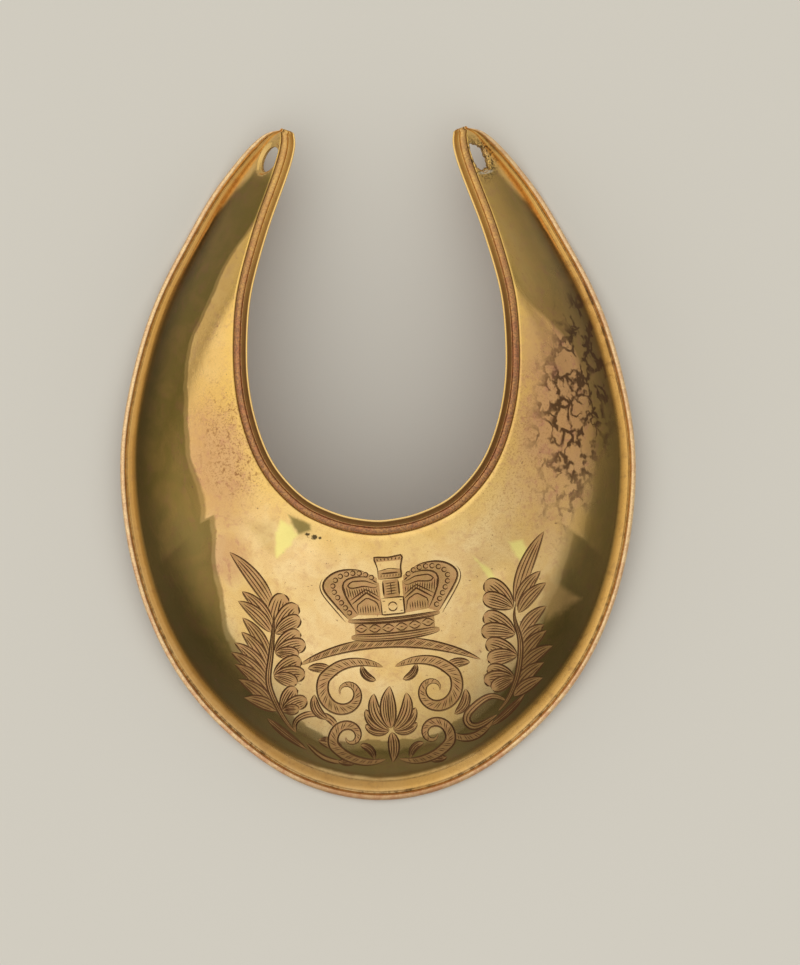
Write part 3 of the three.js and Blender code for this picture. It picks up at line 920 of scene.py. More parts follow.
def scrollwork(engraving):
    """A palmette between two pairs of leafy C-scrolls, under a long flourish."""
    def leaf(base, tip, breadth, mirrored=False, **shape):
        """Adds one leaf given in the scrollwork's frame."""
        blade(engraving, scroll_point(base, mirrored)[0], scroll_point(tip, mirrored)[0], breadth, **shape)

    def leaves(table, mirrored):
        """Adds the leaves of a table on one half; a mirrored leaf bows the other way."""
        hand = -1 if mirrored else 1
        for base, tip, breadth, bow, blunt in table:
            leaf(base, tip, breadth, mirrored, bow=bow * hand, blunt=blunt)

    leaf((0, -4.0), (0, 3.2), 2.6, ribs=(-0.6, -0.3, 0.3, 0.6))
    for mirrored in (False, True):
        leaves(SCROLL_FAN, mirrored)
    leaf((0, -4.6), (0, -9.8), 1.8, ribs=(-0.5, 0.5))
    for mirrored in (False, True):
        hand = -1 if mirrored else 1
        upper = np.concatenate([
            through([(1.0, 6.4), (4.2, 7.3), (8.0, 6.9), (10.9, 4.9)])[:-1],
            volute((7.4, 2.3), 4.36, 37, -1.15),
        ])
        ribbon(engraving, scroll_point(upper, mirrored), 1.9, slant=0.7 * hand, ends=(0.5, 0.75))
        lower = np.concatenate([
            through([(1.2, -9.2), (4.0, -9.6), (7.4, -8.6), (9.8, -6.6)])[:-1],
            volute((7.0, -5.2), 3.13, -27, 1.1),
        ])
        ribbon(engraving, scroll_point(lower, mirrored), 1.6, slant=-0.7 * hand, ends=(0.5, 0.75))
        leaves(SCROLL_LEAVES, mirrored)
    flourish = [(-15.4, 7.0), (-11.5, 8.6), (-6.0, 10.0), (0, 10.5), (6.0, 10.0), (11.5, 8.6), (15.4, 7.0)]
    ribbon(engraving, scroll_point(through(flourish)), 1.7, hatch=0.55, slant=1.1, ends=(0.6, 0.6))


def spray_feet(engraving):
    """The curls and tendrils at the feet of the sprays."""
    ribbon(engraving, through([(-14.3, -44.8), (-14.3, -42.9), (-11.8, -41.7), (-9.0, -42.3),
                               (-7.4, -44.2), (-8.0, -46.0), (-10.3, -45.9)]), 1.0,
           hatch=0, ends=(0.4, 0.5), lines=(0.0,))
    blade(engraving, (-19.1, -42.4), (-12.4, -47.8), 1.1, bow=-0.02)
    blade(engraving, (-10.6, -46.2), (-6.3, -48.3), 1.8, bow=0.1)
    ribbon(engraving, through([(-12.6, -46.6), (-10.1, -48.9), (-7.3, -49.9), (-4.2, -50.2)]), 0.7,
           hatch=0, ends=(0.5, 0.7))
    ribbon(engraving, through([(20.9, -39.9), (18.5, -39.1), (15.9, -40.6), (14.3, -42.6),
                               (15.0, -44.1), (16.8, -43.9), (19.4, -42.3)]), 1.1,
           hatch=0, ends=(0.4, 0.5), lines=(0.0,))
    blade(engraving, (18.4, -44.1), (24.2, -38.8), 1.1, bow=-0.03)
    ribbon(engraving, through([(18.8, -43.2), (16.8, -45.2), (14.5, -46.1), (12.4, -45.7), (10.9, -44.3)]),
           1.2, hatch=0.6, slant=-0.6, ends=(0.6, 0.6))


def engraved():
    """All the engraving, what lies in front first."""
    engraving = Engraving()
    spray(engraving, LEFT_STEM, LEFT_TOP, LEFT_POINTED, LEFT_ROUNDED, -1)
    spray(engraving, RIGHT_STEM, RIGHT_TOP, RIGHT_POINTED, RIGHT_ROUNDED, 1)
    crown(engraving)
    scrollwork(engraving)
    spray_feet(engraving)
    return engraving


def grooves(cuts):
    """The plan of every groove: pointed at both ends, with a floor line between two edges.
    Returns points, the lines between them, outlines, and the floor's segments with their half
    widths."""
    points, lines, outlines, segments = [], [], [], []
    first = 0
    for line, width in cuts:
        count = len(line)
        s = np.linspace(0, 1, count)
        half = width / 2 * np.minimum(1, 4 * np.minimum(s, 1 - s)) ** 0.6
        side = sideways(line) * half[:, None]
        inner = slice(1, count - 1)
        group = np.concatenate([line, (line + side)[inner], (line - side)[inner]])
        floor = np.arange(count)
        left = np.arange(count, 2 * count - 2)
        round_it = np.concatenate([floor[:1], left, floor[-1:], (left + count - 2)[::-1]])
        points.append(group)
        lines.append(first + np.stack([floor[:-1], floor[1:]], -1))
        lines.append(first + np.stack([round_it, np.roll(round_it, -1)], -1))
        outlines.append(group[round_it])
        segments.append(np.column_stack([line[:-1], line[1:], half[:-1], half[1:]]))
        first += len(group)
    return np.concatenate(points), np.concatenate(lines), outlines, np.concatenate(segments)


def groove_depth(xy, segments):
    """Depth of the cuts under points of the plan: the most, over all floor segments, of the
    half width less the distance to the segment, times the walls' slope."""
    depth = np.zeros(len(xy))
    order = np.argsort(xy[:, 0])
    reach = segments[:, 4:6].max()
    left = np.minimum(segments[:, 0], segments[:, 2]) - reach
    right = np.maximum(segments[:, 0], segments[:, 2]) + reach
    block = 400
    for first in range(0, len(xy), block):
        chosen = order[first:first + block]
        across = xy[chosen, 0]
        near = segments[(left <= across.max()) & (right >= across.min())]
        if len(near) == 0:
            continue
        start = near[:, 0:2]
        way = near[:, 2:4] - start
        offset = xy[chosen, None, :] - start
        length_squared = np.maximum((way ** 2).sum(axis=1), 1e-12)
        share = np.clip((offset * way).sum(axis=-1) / length_squared, 0, 1)
        distance = np.linalg.norm(offset - share[..., None] * way, axis=-1)
        half = near[:, 4] + share * (near[:, 5] - near[:, 4])
        depth[chosen] = np.maximum(0, (half - distance).max(axis=1)) * CUT_SLOPE
    return depth


def engrave(sheet, numbers, rows, dome_columns):
    """Replaces a block of the front by triangles that follow the engraving."""
    engraving = engraved()
    span = (-ENGRAVED_REACH - 1, ENGRAVED_REACH + 1)
    first_ring = int(np.searchsorted(rows, -ENGRAVED_REACH))
    last_ring = int(np.searchsorted(rows, ENGRAVED_REACH))
    first_column = dome_columns[0]
    last_column = dome_columns[-2]
    border = border_of(numbers, first_ring, last_ring, first_column, last_column)
    inner = numbers[first_ring + 1:last_ring, first_column + 1:last_column].ravel()
    known = np.concatenate([border, inner])
    points, lines, outlines, segments = grooves(engraving.cuts)
    lines = [loop_lines(0, len(border)), lines + len(known)]
    offset = len(known) + len(points)
    for area in engraving.areas:
        lines.append(loop_lines(offset, len(area)))
        offset += len(area)
    met, plan, triangles = stitched(
        sheet, known, np.concatenate([points, *engraving.areas]), np.concatenate(lines),
        sheet.points[border][:, :2],
    )
    used = np.unique(triangles)
    fresh = used[~np.isin(met[used], border)]
    surface, normals = dome_points(plan[fresh], *span)
    depth = groove_depth(plan[fresh], segments)
    row, v = onto_rows(plan[fresh], *span)
    met[fresh] = sheet.add_points(
        surface - normals * depth[:, None], normals, ON_DOME + np.clip(v, 0, ENGRAVED_LIMIT), row,
    )
    middles = plan[triangles].mean(axis=1)
    cut = any_inside(middles, outlines)
    matted = any_inside(middles, engraving.areas)
    faces = met[triangles]
    for is_cut in (False, True):
        for is_matted in (False, True):
            chosen = (cut == is_cut) & (matted == is_matted)
            sheet.add_faces(faces[chosen], float(is_cut), float(is_matted))
    return (first_ring, last_ring, first_column, last_column)


def hole_frame(row):
    """Middle, lengthwise, sideways and outward unit vectors of the front at a ribbon hole."""
    small = 0.02
    station = station_at(np.array([row]))
    d = dome_profile(station, HOLE_ACROSS)[0]
    middle = station.outer[0] + station.inward[0] * d[0]
    around = np.array([middle, middle + (small, 0), middle + (0, small)])
    heights = dome_height(around, row - HOLE_SEARCH, row + HOLE_SEARCH)
    centre = np.array([*middle, heights[0]])
    normal = unit(np.array([heights[0] - heights[1], heights[0] - heights[2], small]))
    nearby = station_at(np.array([row - small, row + small]))
    d = dome_profile(nearby, HOLE_ACROSS)[0]
    ends = nearby.outer + nearby.inward * d[:, None]
    plan_way = ends[1] - ends[0]
    rise = -(normal[0] * plan_way[0] + normal[1] * plan_way[1]) / normal[2]
    lengthwise = unit(np.array([*plan_way, rise]))
    return centre, lengthwise, np.cross(normal, lengthwise), normal


# The torn hole's outline: its mean share of a plain oval, and its waves, each with how many
# there are, their height and their shift
TORN_SHARE = 1.08
TORN_WAVES = ((5, 0.07, 1), (9, 0.05, 0), (17, 0.045, 2), (29, 0.03, 0))


def hole_edge(torn):
    """The hole's outline as shares of its half length and half width: a plain oval, or one
    with a ragged edge from a few mixed waves."""
    angle = np.linspace(0, 2 * math.pi, HOLE_POINTS, endpoint=False)
    share = np.ones(HOLE_POINTS)
    if torn:
        share *= TORN_SHARE
        for count, height, shift in TORN_WAVES:
            share += height * np.sin(count * angle + shift)
    return angle, share


def dished_border(row, torn):
    """The rings of points from a ribbon hole's edge, down in its dish, out to the front's
    surface, the hole's edge on the underside and the outward direction there. The rings are
    laid out on a plane and moved along it until they lie over the front; those that would
    reach the neck groove stop short of it."""
    centre, lengthwise, across, normal = hole_frame(row)
    hand = 1 if row > 0 else -1
    span = (row - HOLE_SEARCH, row + HOLE_SEARCH)
    angle, share = hole_edge(torn)
    half_width = HOLE_WIDTH / 2 + (HOLE_BORDER + HOLE_BORDER_NECK) / 2
    off_centre = (HOLE_BORDER - HOLE_BORDER_NECK) / 2 * hand
    edge = np.stack([HOLE_LENGTH / 2 * share * np.cos(angle), HOLE_WIDTH / 2 * share * np.sin(angle)], -1)
    rim = np.stack([
        (HOLE_LENGTH / 2 + HOLE_BORDER) * np.cos(angle), half_width * np.sin(angle) + off_centre,
    ], -1)
    shares, depths = np.array(DISH).T
    flat = (edge[None] + (rim - edge)[None] * shares[:, None, None]).reshape(-1, 2)
    on_plane = centre + flat[:, :1] * lengthwise + flat[:, 1:] * across
    plan = on_plane[:, :2].copy()
    for _ in range(4):
        miss = on_plane - np.column_stack([plan, dome_height(plan, *span)])
        along = (miss @ lengthwise)[:, None] * lengthwise + (miss @ across)[:, None] * across
        plan += along[:, :2]
    row_there, v = onto_rows(plan, *span)
    most = np.repeat(HOLE_NECK_LIMIT + (RIM_NECK_LIMIT - HOLE_NECK_LIMIT) * shares, HOLE_POINTS)
    station = station_at(row_there)
    d, z, slope = dome_profile(station, np.clip(v, 1 - RIM_NECK_LIMIT, most))
    surface = placed(station, d[:, None], z[:, None])[:, 0]
    rings = surface - np.repeat(depths * DISH_DEPTH, HOLE_POINTS)[:, None] * normal
    d, z = beneath(d, z, slope, THICKNESS * station.fine ** 0.5)
    return rings, placed(station, d[:, None], z[:, None])[:HOLE_POINTS, 0], normal


def pierce(sheet, numbers, rows, dome_columns, back_columns, row, torn):
    """Cuts a ribbon hole with its dished border: triangles join the border to the sheet, and a
    wall joins the hole's edge to the underside. Returns the blocks of the rings that they
    take the place of."""
    rings, back_edge, normal = dished_border(row, torn)

    def added(points, place):
        """Adds points that all have one place and the hole's row, and returns their numbers."""
        count = len(points)
        return sheet.add_points(points, np.zeros_like(points), np.full(count, place), np.full(count, row))

    ring_numbers = added(rings, ON_DOME + 0.5).reshape(len(DISH), HOLE_POINTS)
    back_numbers = added(back_edge, ON_BACK + 0.5)
    blocks = []
    first_ring = int(np.searchsorted(rows, row - HOLE_REACH))
    last_ring = int(np.searchsorted(rows, row + HOLE_REACH))
    for columns, ring_border, clear, up in (
        (dome_columns[:-1], ring_numbers[-1], 1.0, 1), (back_columns, back_numbers, 1.06, -1),
    ):
        first_column, last_column = columns[0], columns[-1]
        border = border_of(numbers, first_ring, last_ring, first_column, last_column)
        inner = numbers[first_ring + 1:last_ring, first_column + 1:last_column].ravel()
        outline = sheet.points[ring_border]
        grown = outline - outline.mean(axis=0)
        grown_plan = (outline.mean(axis=0) + grown * (clear + 0.05))[:, :2]
        inner = inner[~inside(sheet.points[inner][:, :2], grown_plan)]
        known = np.concatenate([border, ring_border, inner])
        lines = np.concatenate([loop_lines(0, len(border)), loop_lines(len(border), HOLE_POINTS)])
        met, _, triangles = stitched(
            sheet, known, [], lines, sheet.points[border][:, :2], outline[:, :2],
        )
        sheet.add_faces(met[triangles][:, ::up])
        blocks.append((first_ring, last_ring, first_column, last_column))
    strips = list(zip(ring_numbers[:-1], ring_numbers[1:])) + [(back_numbers, ring_numbers[0])]
    turned = rings[1] - rings[0]
    outwards = np.dot(np.cross(turned, rings[HOLE_POINTS] - rings[0]), normal)
    for inner_ring, outer_ring in strips:
        quads = np.stack([inner_ring, np.roll(inner_ring, -1), np.roll(outer_ring, -1), outer_ring], -1)
        if outwards < 0:
            quads = quads[:, ::-1]
        sheet.add_faces(quads)
    return blocks


def crescent():
    """The whole sheet: the rings and the faces between them, the rounded tips, then the
    engraved block and the pierced blocks in place of the plain faces there."""
    sheet = Sheet()
    rows = np.linspace(-TIP, TIP, STATIONS + 1)
    points, normals, place = rings_at(rows)
    ring_count, size = place.shape
    numbers = sheet.add_points(
        points.reshape(-1, 3), normals.reshape(-1, 3), place.ravel(), np.repeat(rows, size),
    ).reshape(ring_count, size)
    dome_columns = np.flatnonzero((place[0] >= ON_DOME) & (place[0] < ON_NECK_GROOVE))
    back_start = int(np.flatnonzero(place[0] >= ON_BACK)[len(NECK_EDGE)])
    back_columns = np.arange(back_start, back_start + BACK_POINTS)
    blocks = [engrave(sheet, numbers, rows, dome_columns)]
    for row, torn in ((-HOLE_ROW, False), (HOLE_ROW, True)):
        blocks += pierce(sheet, numbers, rows, dome_columns, back_columns, row, torn)
    plain = np.ones((ring_count - 1, size), bool)
    for first_ring, last_ring, first_column, last_column in blocks:
        plain[first_ring:last_ring, first_column:last_column] = False
    after = np.roll(numbers, -1, axis=1)
    quads = np.stack([numbers[:-1], numbers[1:], after[1:], after[:-1]], -1)
    sheet.add_faces(quads[plain])
    for ring_index, hand in ((0, -1), (ring_count - 1, 1)):
        close_tip(sheet, numbers[ring_index], rows[ring_index], hand)
    return sheet


def close_tip(sheet, last_ring, row, hand):
    """Rounds a horn tip: rings that follow a quarter circle, drawn in as 1 - (1 - cos a) / 2
    about their middle while they move out by sin a, and a flat cap."""
    section = sheet.points[last_ring]
    station = station_at(np.array([row]))
    inward = station.inward[0]
    outward = hand * np.array([inward[1], -inward[0], 0.0])
    middle = section.mean(axis=0)
    before = last_ring
    for degrees in np.linspace(0, 75, TIP_RINGS + 1)[1:]:
        angle = math.radians(degrees)
        size = 1 - (1 - math.cos(angle)) / 2
        points = middle + (section - middle) * size + outward * TIP_ROUND * math.sin(angle)
        fresh = sheet.add_points(
            points, np.zeros_like(points), sheet.places[last_ring], sheet.rows[last_ring],
        )
        pair = (before, fresh) if hand > 0 else (fresh, before)
        sheet.add_faces(np.stack([pair[0], pair[1], np.roll(pair[1], -1), np.roll(pair[0], -1)], -1))
        before = fresh
    sheet.add_faces([before[::-1] if hand > 0 else before])


def mesh_from(sheet, name):
    """The sheet as a mesh: unused points left out, metres instead of millimetres, the walls of
    the cuts flat and the rest smooth with its own normals."""
    totals = np.array([len(face) for face in sheet.faces])
    corners = np.concatenate([np.asarray(face) for face in sheet.faces])
    used, corners = np.unique(corners, return_inverse=True)
    marks = np.array(sheet.marks)
    mesh = bpy.data.meshes.new(name)
    mesh.vertices.add(len(used))
    mesh.vertices.foreach_set("co", (sheet.points[used] * MM).ravel())
    mesh.loops.add(len(corners))
    mesh.loops.foreach_set("vertex_index", corners.astype(np.int32))
    mesh.polygons.add(len(totals))
    mesh.polygons.foreach_set("loop_start", np.concatenate([[0], np.cumsum(totals)[:-1]]).astype(np.int32))
    mesh.polygons.foreach_set("loop_total", totals.astype(np.int32))
    mesh.polygons.foreach_set("use_smooth", marks[:, 0] < 0.5)
    mesh.update(calc_edges=True)
    for label, domain, values in (
        ("place", "POINT", sheet.places[used]), ("row", "POINT", sheet.rows[used]),
        ("cut", "FACE", marks[:, 0]), ("matted", "FACE", marks[:, 1]),
    ):
        attribute = mesh.attributes.new(label, "FLOAT", domain)
        attribute.data.foreach_set("value", values.astype(np.float32))
    mesh.validate()
    normals = sheet.normals[used][corners]
    normals[np.repeat(marks[:, 0] > 0.5, totals)] = 0
    mesh.normals_split_custom_set(normals.tolist())
    return mesh


def linear(red, green, blue):
    """A colour given as 0 to 255 on a screen, as the linear values that a shader takes."""
    screen = np.array([red, green, blue]) / 255
    value = np.where(screen <= 0.04045, screen / 12.92, ((screen + 0.055) / 1.055) ** 2.4)
    return (*value.tolist(), 1.0)


def operator(operation, reflected=False):
    """The method of an operator: it adds the Math node that works it out."""
    def method(self, other):
        """Adds the node."""
        values = (other, self) if reflected else (self, other)
        return self.finish.maths(operation, *values)

    return method


class Wire:
    """A socket in shader maths."""

    def __init__(self, finish, socket):
        self.finish = finish
        self.socket = socket

    __add__ = operator("ADD")
    __radd__ = operator("ADD", reflected=True)
    __sub__ = operator("SUBTRACT")
    __rsub__ = operator("SUBTRACT", reflected=True)
    __mul__ = operator("MULTIPLY")
    __rmul__ = operator("MULTIPLY", reflected=True)
    __truediv__ = operator("DIVIDE")
    __rtruediv__ = operator("DIVIDE", reflected=True)


# How high the ovals of stains reach, far past the sheet
OVAL_HEIGHT = 1000.0


class Finish:
    """A material or a world under construction, with the one method that adds its nodes and a
    few shapes made with it."""

    def __init__(self, owner):
        owner.use_nodes = True
        self.tree = owner.node_tree
        self.tree.nodes.clear()

    def node(self, kind, settings=None, sockets=None, output=0):
        """Adds a node: its settings first, with the stops of a ramp joined by a smooth curve,
        then the values or links of its sockets."""
        node = self.tree.nodes.new(kind)
        for name, value in (settings or {}).items():
            if name == "stops":
                ramp = node.color_ramp
                ramp.interpolation = "CARDINAL"
                while len(ramp.elements) < len(value):
                    ramp.elements.new(1)
                for element, (position, colour) in zip(ramp.elements, value):
                    element.position = position
                    element.color = colour
            else:
                setattr(node, name, value)
        for name, value in (sockets or {}).items():
            if isinstance(value, Wire):
                self.tree.links.new(value.socket, node.inputs[name])
            else:
                node.inputs[name].default_value = value
        return Wire(self, node.outputs[output]) if node.outputs else None

    def maths(self, operation, *values):
        """A Math node on one or two values."""
        return self.node("ShaderNodeMath", {"operation": operation}, dict(enumerate(values)))

    def least(self, first, *others):
        """The least of several values."""
        for other in others:
            first = self.maths("MINIMUM", first, other)
        return first

    def most(self, first, *others):
        """The greatest of several values."""
        for other in others:
            first = self.maths("MAXIMUM", first, other)
        return first

    def axis(self, vector, name):
        """One axis of a vector."""
        return self.node("ShaderNodeSeparateXYZ", {}, {0: vector}, output=name)

    def between(self, low, high, value):
        """A smooth step from 0 at low to 1 at high; low may be the greater."""
        return self.node(
            "ShaderNodeMapRange", {"interpolation_type": "SMOOTHSTEP"},
            {"Value": value, "From Min": low, "From Max": high, "To Min": 0.0, "To Max": 1.0},
        )

    def blend(self, share, first, second):
        """Two colours mixed by a share."""
        return self.node("ShaderNodeMix", {"data_type": "RGBA"}, {0: share, 6: first, 7: second}, output=2)

    def layered(self, colour, *layers):
        """A colour with others laid over it in turn, each a share and a colour of the screen."""
        for share, screen in layers:
            colour = self.blend(share, colour, linear(*screen))
        return colour

    def noise(self, place, scale, detail=3.0, rough=0.55, distortion=0.0):
        """Smooth noise from 0 to 1 with features about 1 / scale across."""
        return self.node("ShaderNodeTexNoise", {}, {
            "Vector": place, "Scale": scale, "Detail": detail, "Roughness": rough, "Distortion": distortion,
        })

    def stretched(self, place, scale, turn=0.0, offset=(0.0, 0.0, 0.0)):
        """A place moved, turned about z and scaled along each axis."""
        return self.node("ShaderNodeMapping", {"vector_type": "TEXTURE"}, {
            "Vector": place, "Location": offset, "Rotation": (0.0, 0.0, math.radians(turn)), "Scale": scale,
        })

    def spot(self, place, centre, radii, turn, ragged, soft=0.35):
        """1 within an oval of the plan and 0 outside, its edge frayed by a noise."""
        local = self.stretched(place, (*radii, OVAL_HEIGHT), turn, (*centre, 0.0))
        reach = self.node("ShaderNodeVectorMath", {"operation": "LENGTH"}, {0: local}, output="Value")
        return self.between(1 + soft, 1 - soft, reach + ragged)

    def facet(self, x, y, corners, soft, ragged):
        """1 inside a convex outline, given counter-clockwise, and 0 outside: the least distance
        in from its sides, frayed by a noise, as a smooth step."""
        distances = []
        for (ax, ay), (bx, by) in zip(corners, corners[1:] + corners[:1]):
            length = math.dist((ax, ay), (bx, by))
            across_x = (ay - by) / length
            across_y = (bx - ax) / length
            distances.append(x * across_x + y * across_y - (ax * across_x + ay * across_y))
        return self.between(-soft / 2, soft / 2, self.least(*distances) + ragged)


# Olive tarnish and painted dark reflection on the flank, along the crescent: row, how far up the dome it
# reaches, how dark it is and how soft its edge is
FLANK_TARNISH_AND_SHADE = (
    (-18.0, 0.90, 0.10, 0.06),
    (-15.6, 0.95, 0.30, 0.06),
    (-15.0, 1.00, 0.95, 0.05),
    (-13.8, 0.98, 1.00, 0.08),
    (-12.8, 0.76, 1.00, 0.03),
    (-11.6, 0.69, 1.00, 0.02),
    (-10.6, 0.57, 1.00, 0.015),
    (-9.2, 0.58, 1.00, 0.015),
    (-7.8, 0.59, 0.95, 0.02),
    (-6.6, 0.58, 0.90, 0.03),
    (-5.7, 0.48, 0.95, 0.02),
    (-4.5, 0.31, 1.00, 0.02),
    (-3.3, 0.20, 0.95, 0.02),
    (-1.8, 0.145, 0.95, 0.012),
    (0.0, 0.125, 0.95, 0.01),
    (1.8, 0.135, 0.95, 0.012),
    (3.6, 0.20, 1.00, 0.02),
    (4.8, 0.29, 1.00, 0.10),
    (5.6, 0.33, 0.90, 0.14),
    (7.0, 0.34, 0.80, 0.24),
    (9.0, 0.36, 0.80, 0.22),
    (10.4, 0.45, 0.80, 0.12),
    (11.2, 0.78, 0.85, 0.05),
    (11.9, 0.98, 0.85, 0.06),
    (13.0, 1.00, 0.85, 0.20),
    (15.0, 1.00, 0.75, 0.10),
    (15.6, 0.90, 0.25, 0.08),
    (18.0, 0.90, 0.10, 0.08),
)

# Ragged ovals: centre, radii, turn in degrees and softness
PINK_RIGHT = ((31.5, 11.0), (7.5, 20.0), -8.0, 0.6)
PINK_LEFT = ((-27.0, 0.0), (5.0, 10.0), 10.0, 0.6)
PINK_LOW = ((-25.5, -15.0), (3.5, 4.0), 0.0, 0.5)
CRACKLE_PATCH = ((33.6, 11.0), (5.8, 18.0), -10.0, 0.5)
SPECKLES_LEFT = ((-23.8, 3.5), (5.0, 9.5), 12.0, 0.6)
SPECKLES_RIGHT = ((24.0, 1.0), (7.0, 16.0), -20.0, 0.6)

# Painted highlights, shade and reflections on the facets of the dents, as convex outlines of the plan
DENT_PAINTED_HIGHLIGHT = (
    (-17.2, -11.3), (-17.0, -15.2), (-14.8, -13.5), (-13.4, -11.6), (-14.3, -10.1), (-16.2, -9.4),
)
DENT_PAINTED_SHADE = ((-14.3, -10.1), (-13.4, -11.6), (-11.2, -10.9), (-11.4, -9.9), (-14.9, -8.4))
DENT_OLIVE_REFLECTION = ((-22.0, -9.5), (-19.7, -13.4), (-17.3, -14.9), (-17.3, -9.2))
HIGHLIGHT_SPOT_HIGH = ((21.1, -13.7), (22.9, -15.4), (23.5, -16.9), (24.7, -15.4), (23.7, -13.5))
HIGHLIGHT_SPOT_LOW = ((17.0, -17.0), (18.4, -19.2), (19.3, -19.5), (18.2, -17.8))
FLANK_REFLECTION_FACET = ((27.9, -18.8), (27.2, -22.2), (27.9, -26.6), (31.3, -24.3), (33.3, -22.9))

# Black specks beside the sharpest dent: centre and radius
SPECKS = (((-11.9, -11.6), 0.35), ((-10.7, -12.1), 0.5), ((-9.8, -12.2), 0.3))

# The mouldings of the rims: where each starts and ends on the section, and how softly
MOULDINGS = {
    "roll": (ON_ROLL, ON_GROOVE, 0.06),
    "groove": (ON_GROOVE - 0.03, ON_COVE + 0.05, 0.06),
    "cove": (ON_COVE, ON_DOME - 0.28, 0.24),
    "neck_groove": (ON_DOME + 0.985, ON_BEAD, 0.012),
    "bead": (ON_BEAD, ON_BAND, 0.06),
    "band": (ON_BAND, ON_LIP, 0.06),
    "lip": (ON_LIP, ON_BACK, 0.1),
}


def gilt_surface(finish):
    """What the finish is worked out from: places in millimetres, the marks on the mesh, noises
    from broad to fine, and shares that tell the sides, the horns and the tips."""
    coordinates = finish.node("ShaderNodeTexCoord", output="Object")
    at = finish.node("ShaderNodeVectorMath", {"operation": "SCALE"}, {0: coordinates, "Scale": 1 / MM})
    marks = {
        name: finish.node("ShaderNodeAttribute", {"attribute_name": name}, output="Fac")
        for name in ("place", "row", "cut", "matted")
    }
    far = finish.maths("ABSOLUTE", marks["row"])
    cloud = finish.noise(at, 0.22, 4.0, 0.6, 0.6)
    mottle = finish.noise(at, 0.8, 5.0, 0.65)
    grain = finish.noise(at, 5.0, 4.0, 0.6)
    return SimpleNamespace(
        **marks, at=at, x=finish.axis(at, "X"), y=finish.axis(at, "Y"), share=marks["place"] - ON_DOME,
        broad=finish.noise(at, 0.07, 3.0, 0.55), cloud=cloud, mottle=mottle, grain=grain,
        fleck=finish.noise(at, 2.6, 3.0, 0.7), grit=finish.between(0.5, 0.7, grain),
        patina=finish.between(0.5, 0.68, finish.noise(at, 0.45, 6.0, 0.72, 0.4)),
        hatch=finish.noise(finish.stretched(at, (1.0, 0.2, 1.0), 35.0), 6.0, 2.0, 0.6),
        ragged=(cloud - 0.5) * 1.3 + (mottle - 0.5) * 0.7,
        fray=(cloud - 0.5) * 1.2 + (mottle - 0.5) * 0.8,
        away=finish.between(3.0, 9.0, far), sides=finish.between(0.8, 3.5, far),
        horns=finish.between(10.0, 15.0, far), tips=finish.between(11.5, 15.6, far),
    )


def oval(finish, s, patch):
    """1 within one of the ragged ovals and 0 outside."""
    centre, radii, turn, soft = patch
    return finish.spot(s.at, centre, radii, turn, s.ragged, soft)


def gilded(finish, s):
    """Pale gold, richer away from the middle and along the neck, with mottling, patina and
    grit, and pink stains. Returns the colour and the stains."""
    gold = finish.blend(finish.between(0.38, 0.62, s.cloud), linear(252, 221, 163), linear(245, 209, 148))
    pink = finish.most(
        oval(finish, s, PINK_RIGHT), oval(finish, s, PINK_LEFT) * 0.85, oval(finish, s, PINK_LOW) * 0.8,
    )
    colour = finish.layered(
        gold,
        (finish.between(0.45, 0.7, s.broad) * 0.5, (238, 196, 112)),
        (finish.between(0.5, 0.75, s.mottle) * 0.35, (216, 172, 116)),
        (s.away * 0.6, (226, 180, 94)),
        (finish.between(0.82, 1.0, s.share) * 0.6, (246, 204, 112)),
        (s.patina * 0.4, (206, 160, 122)),
        (s.grit * 0.22, (168, 124, 74)),
        (pink * (0.6 + 0.4 * s.patina), (202, 148, 114)),
    )
    return colour, pink


def tarnished_and_reflection_shaded(finish, s, colour):
    """Olive tarnish on the flank, partly painted dark reflection, within the reach that the flank's table
    gives along the rows, thinner high on the right horn, with painted shade darkest at the dome's foot.
    Returns the colour and the share of tarnish and painted dark reflection."""
    stops = [((line[0] + TIP) / (2 * TIP), (*line[1:], 1.0)) for line in FLANK_TARNISH_AND_SHADE]
    limits = finish.node("ShaderNodeValToRGB", {"stops": stops}, {"Fac": (s.row + TIP) / (2 * TIP)})
    reach, darkness, softness = [
        finish.node("ShaderNodeSeparateColor", {}, {0: limits}, output=channel)
        for channel in ("Red", "Green", "Blue")
    ]
    wobble = (s.broad - 0.5) * 0.12 + (s.cloud - 0.5) * 0.05
    within = reach - s.share + wobble
    flank = finish.between(-0.5, 0.5, within / softness)
    deeper = finish.between(0.03, 0.05, within)
    outward = s.share + 0.08 + 0.34 * s.sides - 0.95 * s.tips + (s.cloud - 0.5) * 0.25
    rising = finish.between(-0.22, 0.0, outward)
    thinner = 1 - 0.4 * finish.between(0.4, 0.95, s.share) * finish.between(8.0, 11.0, s.row)
    # Share of olive: real tarnish together with painted dark reflection on the steep flank
    tarnish_and_dark_reflection = rising * flank * darkness * (0.72 + 0.28 * deeper) * thinner
    # Painted shade, darkest along the dome's foot
    foot = finish.between(-0.24, 0.02, outward) * finish.between(0.4, 0.05, s.share + wobble) * darkness
    olive = finish.blend(finish.between(0.4, 0.65, s.cloud), linear(112, 97, 44), linear(126, 104, 54))
    olive = finish.layered(olive, (finish.most(s.patina * 0.55, s.grit * 0.3), (134, 98, 66)))
    colour = finish.blend(tarnish_and_dark_reflection * 0.94, colour, olive)
    return finish.layered(colour, (foot * (0.3 + 0.42 * s.sides), (56, 45, 22))), tarnish_and_dark_reflection


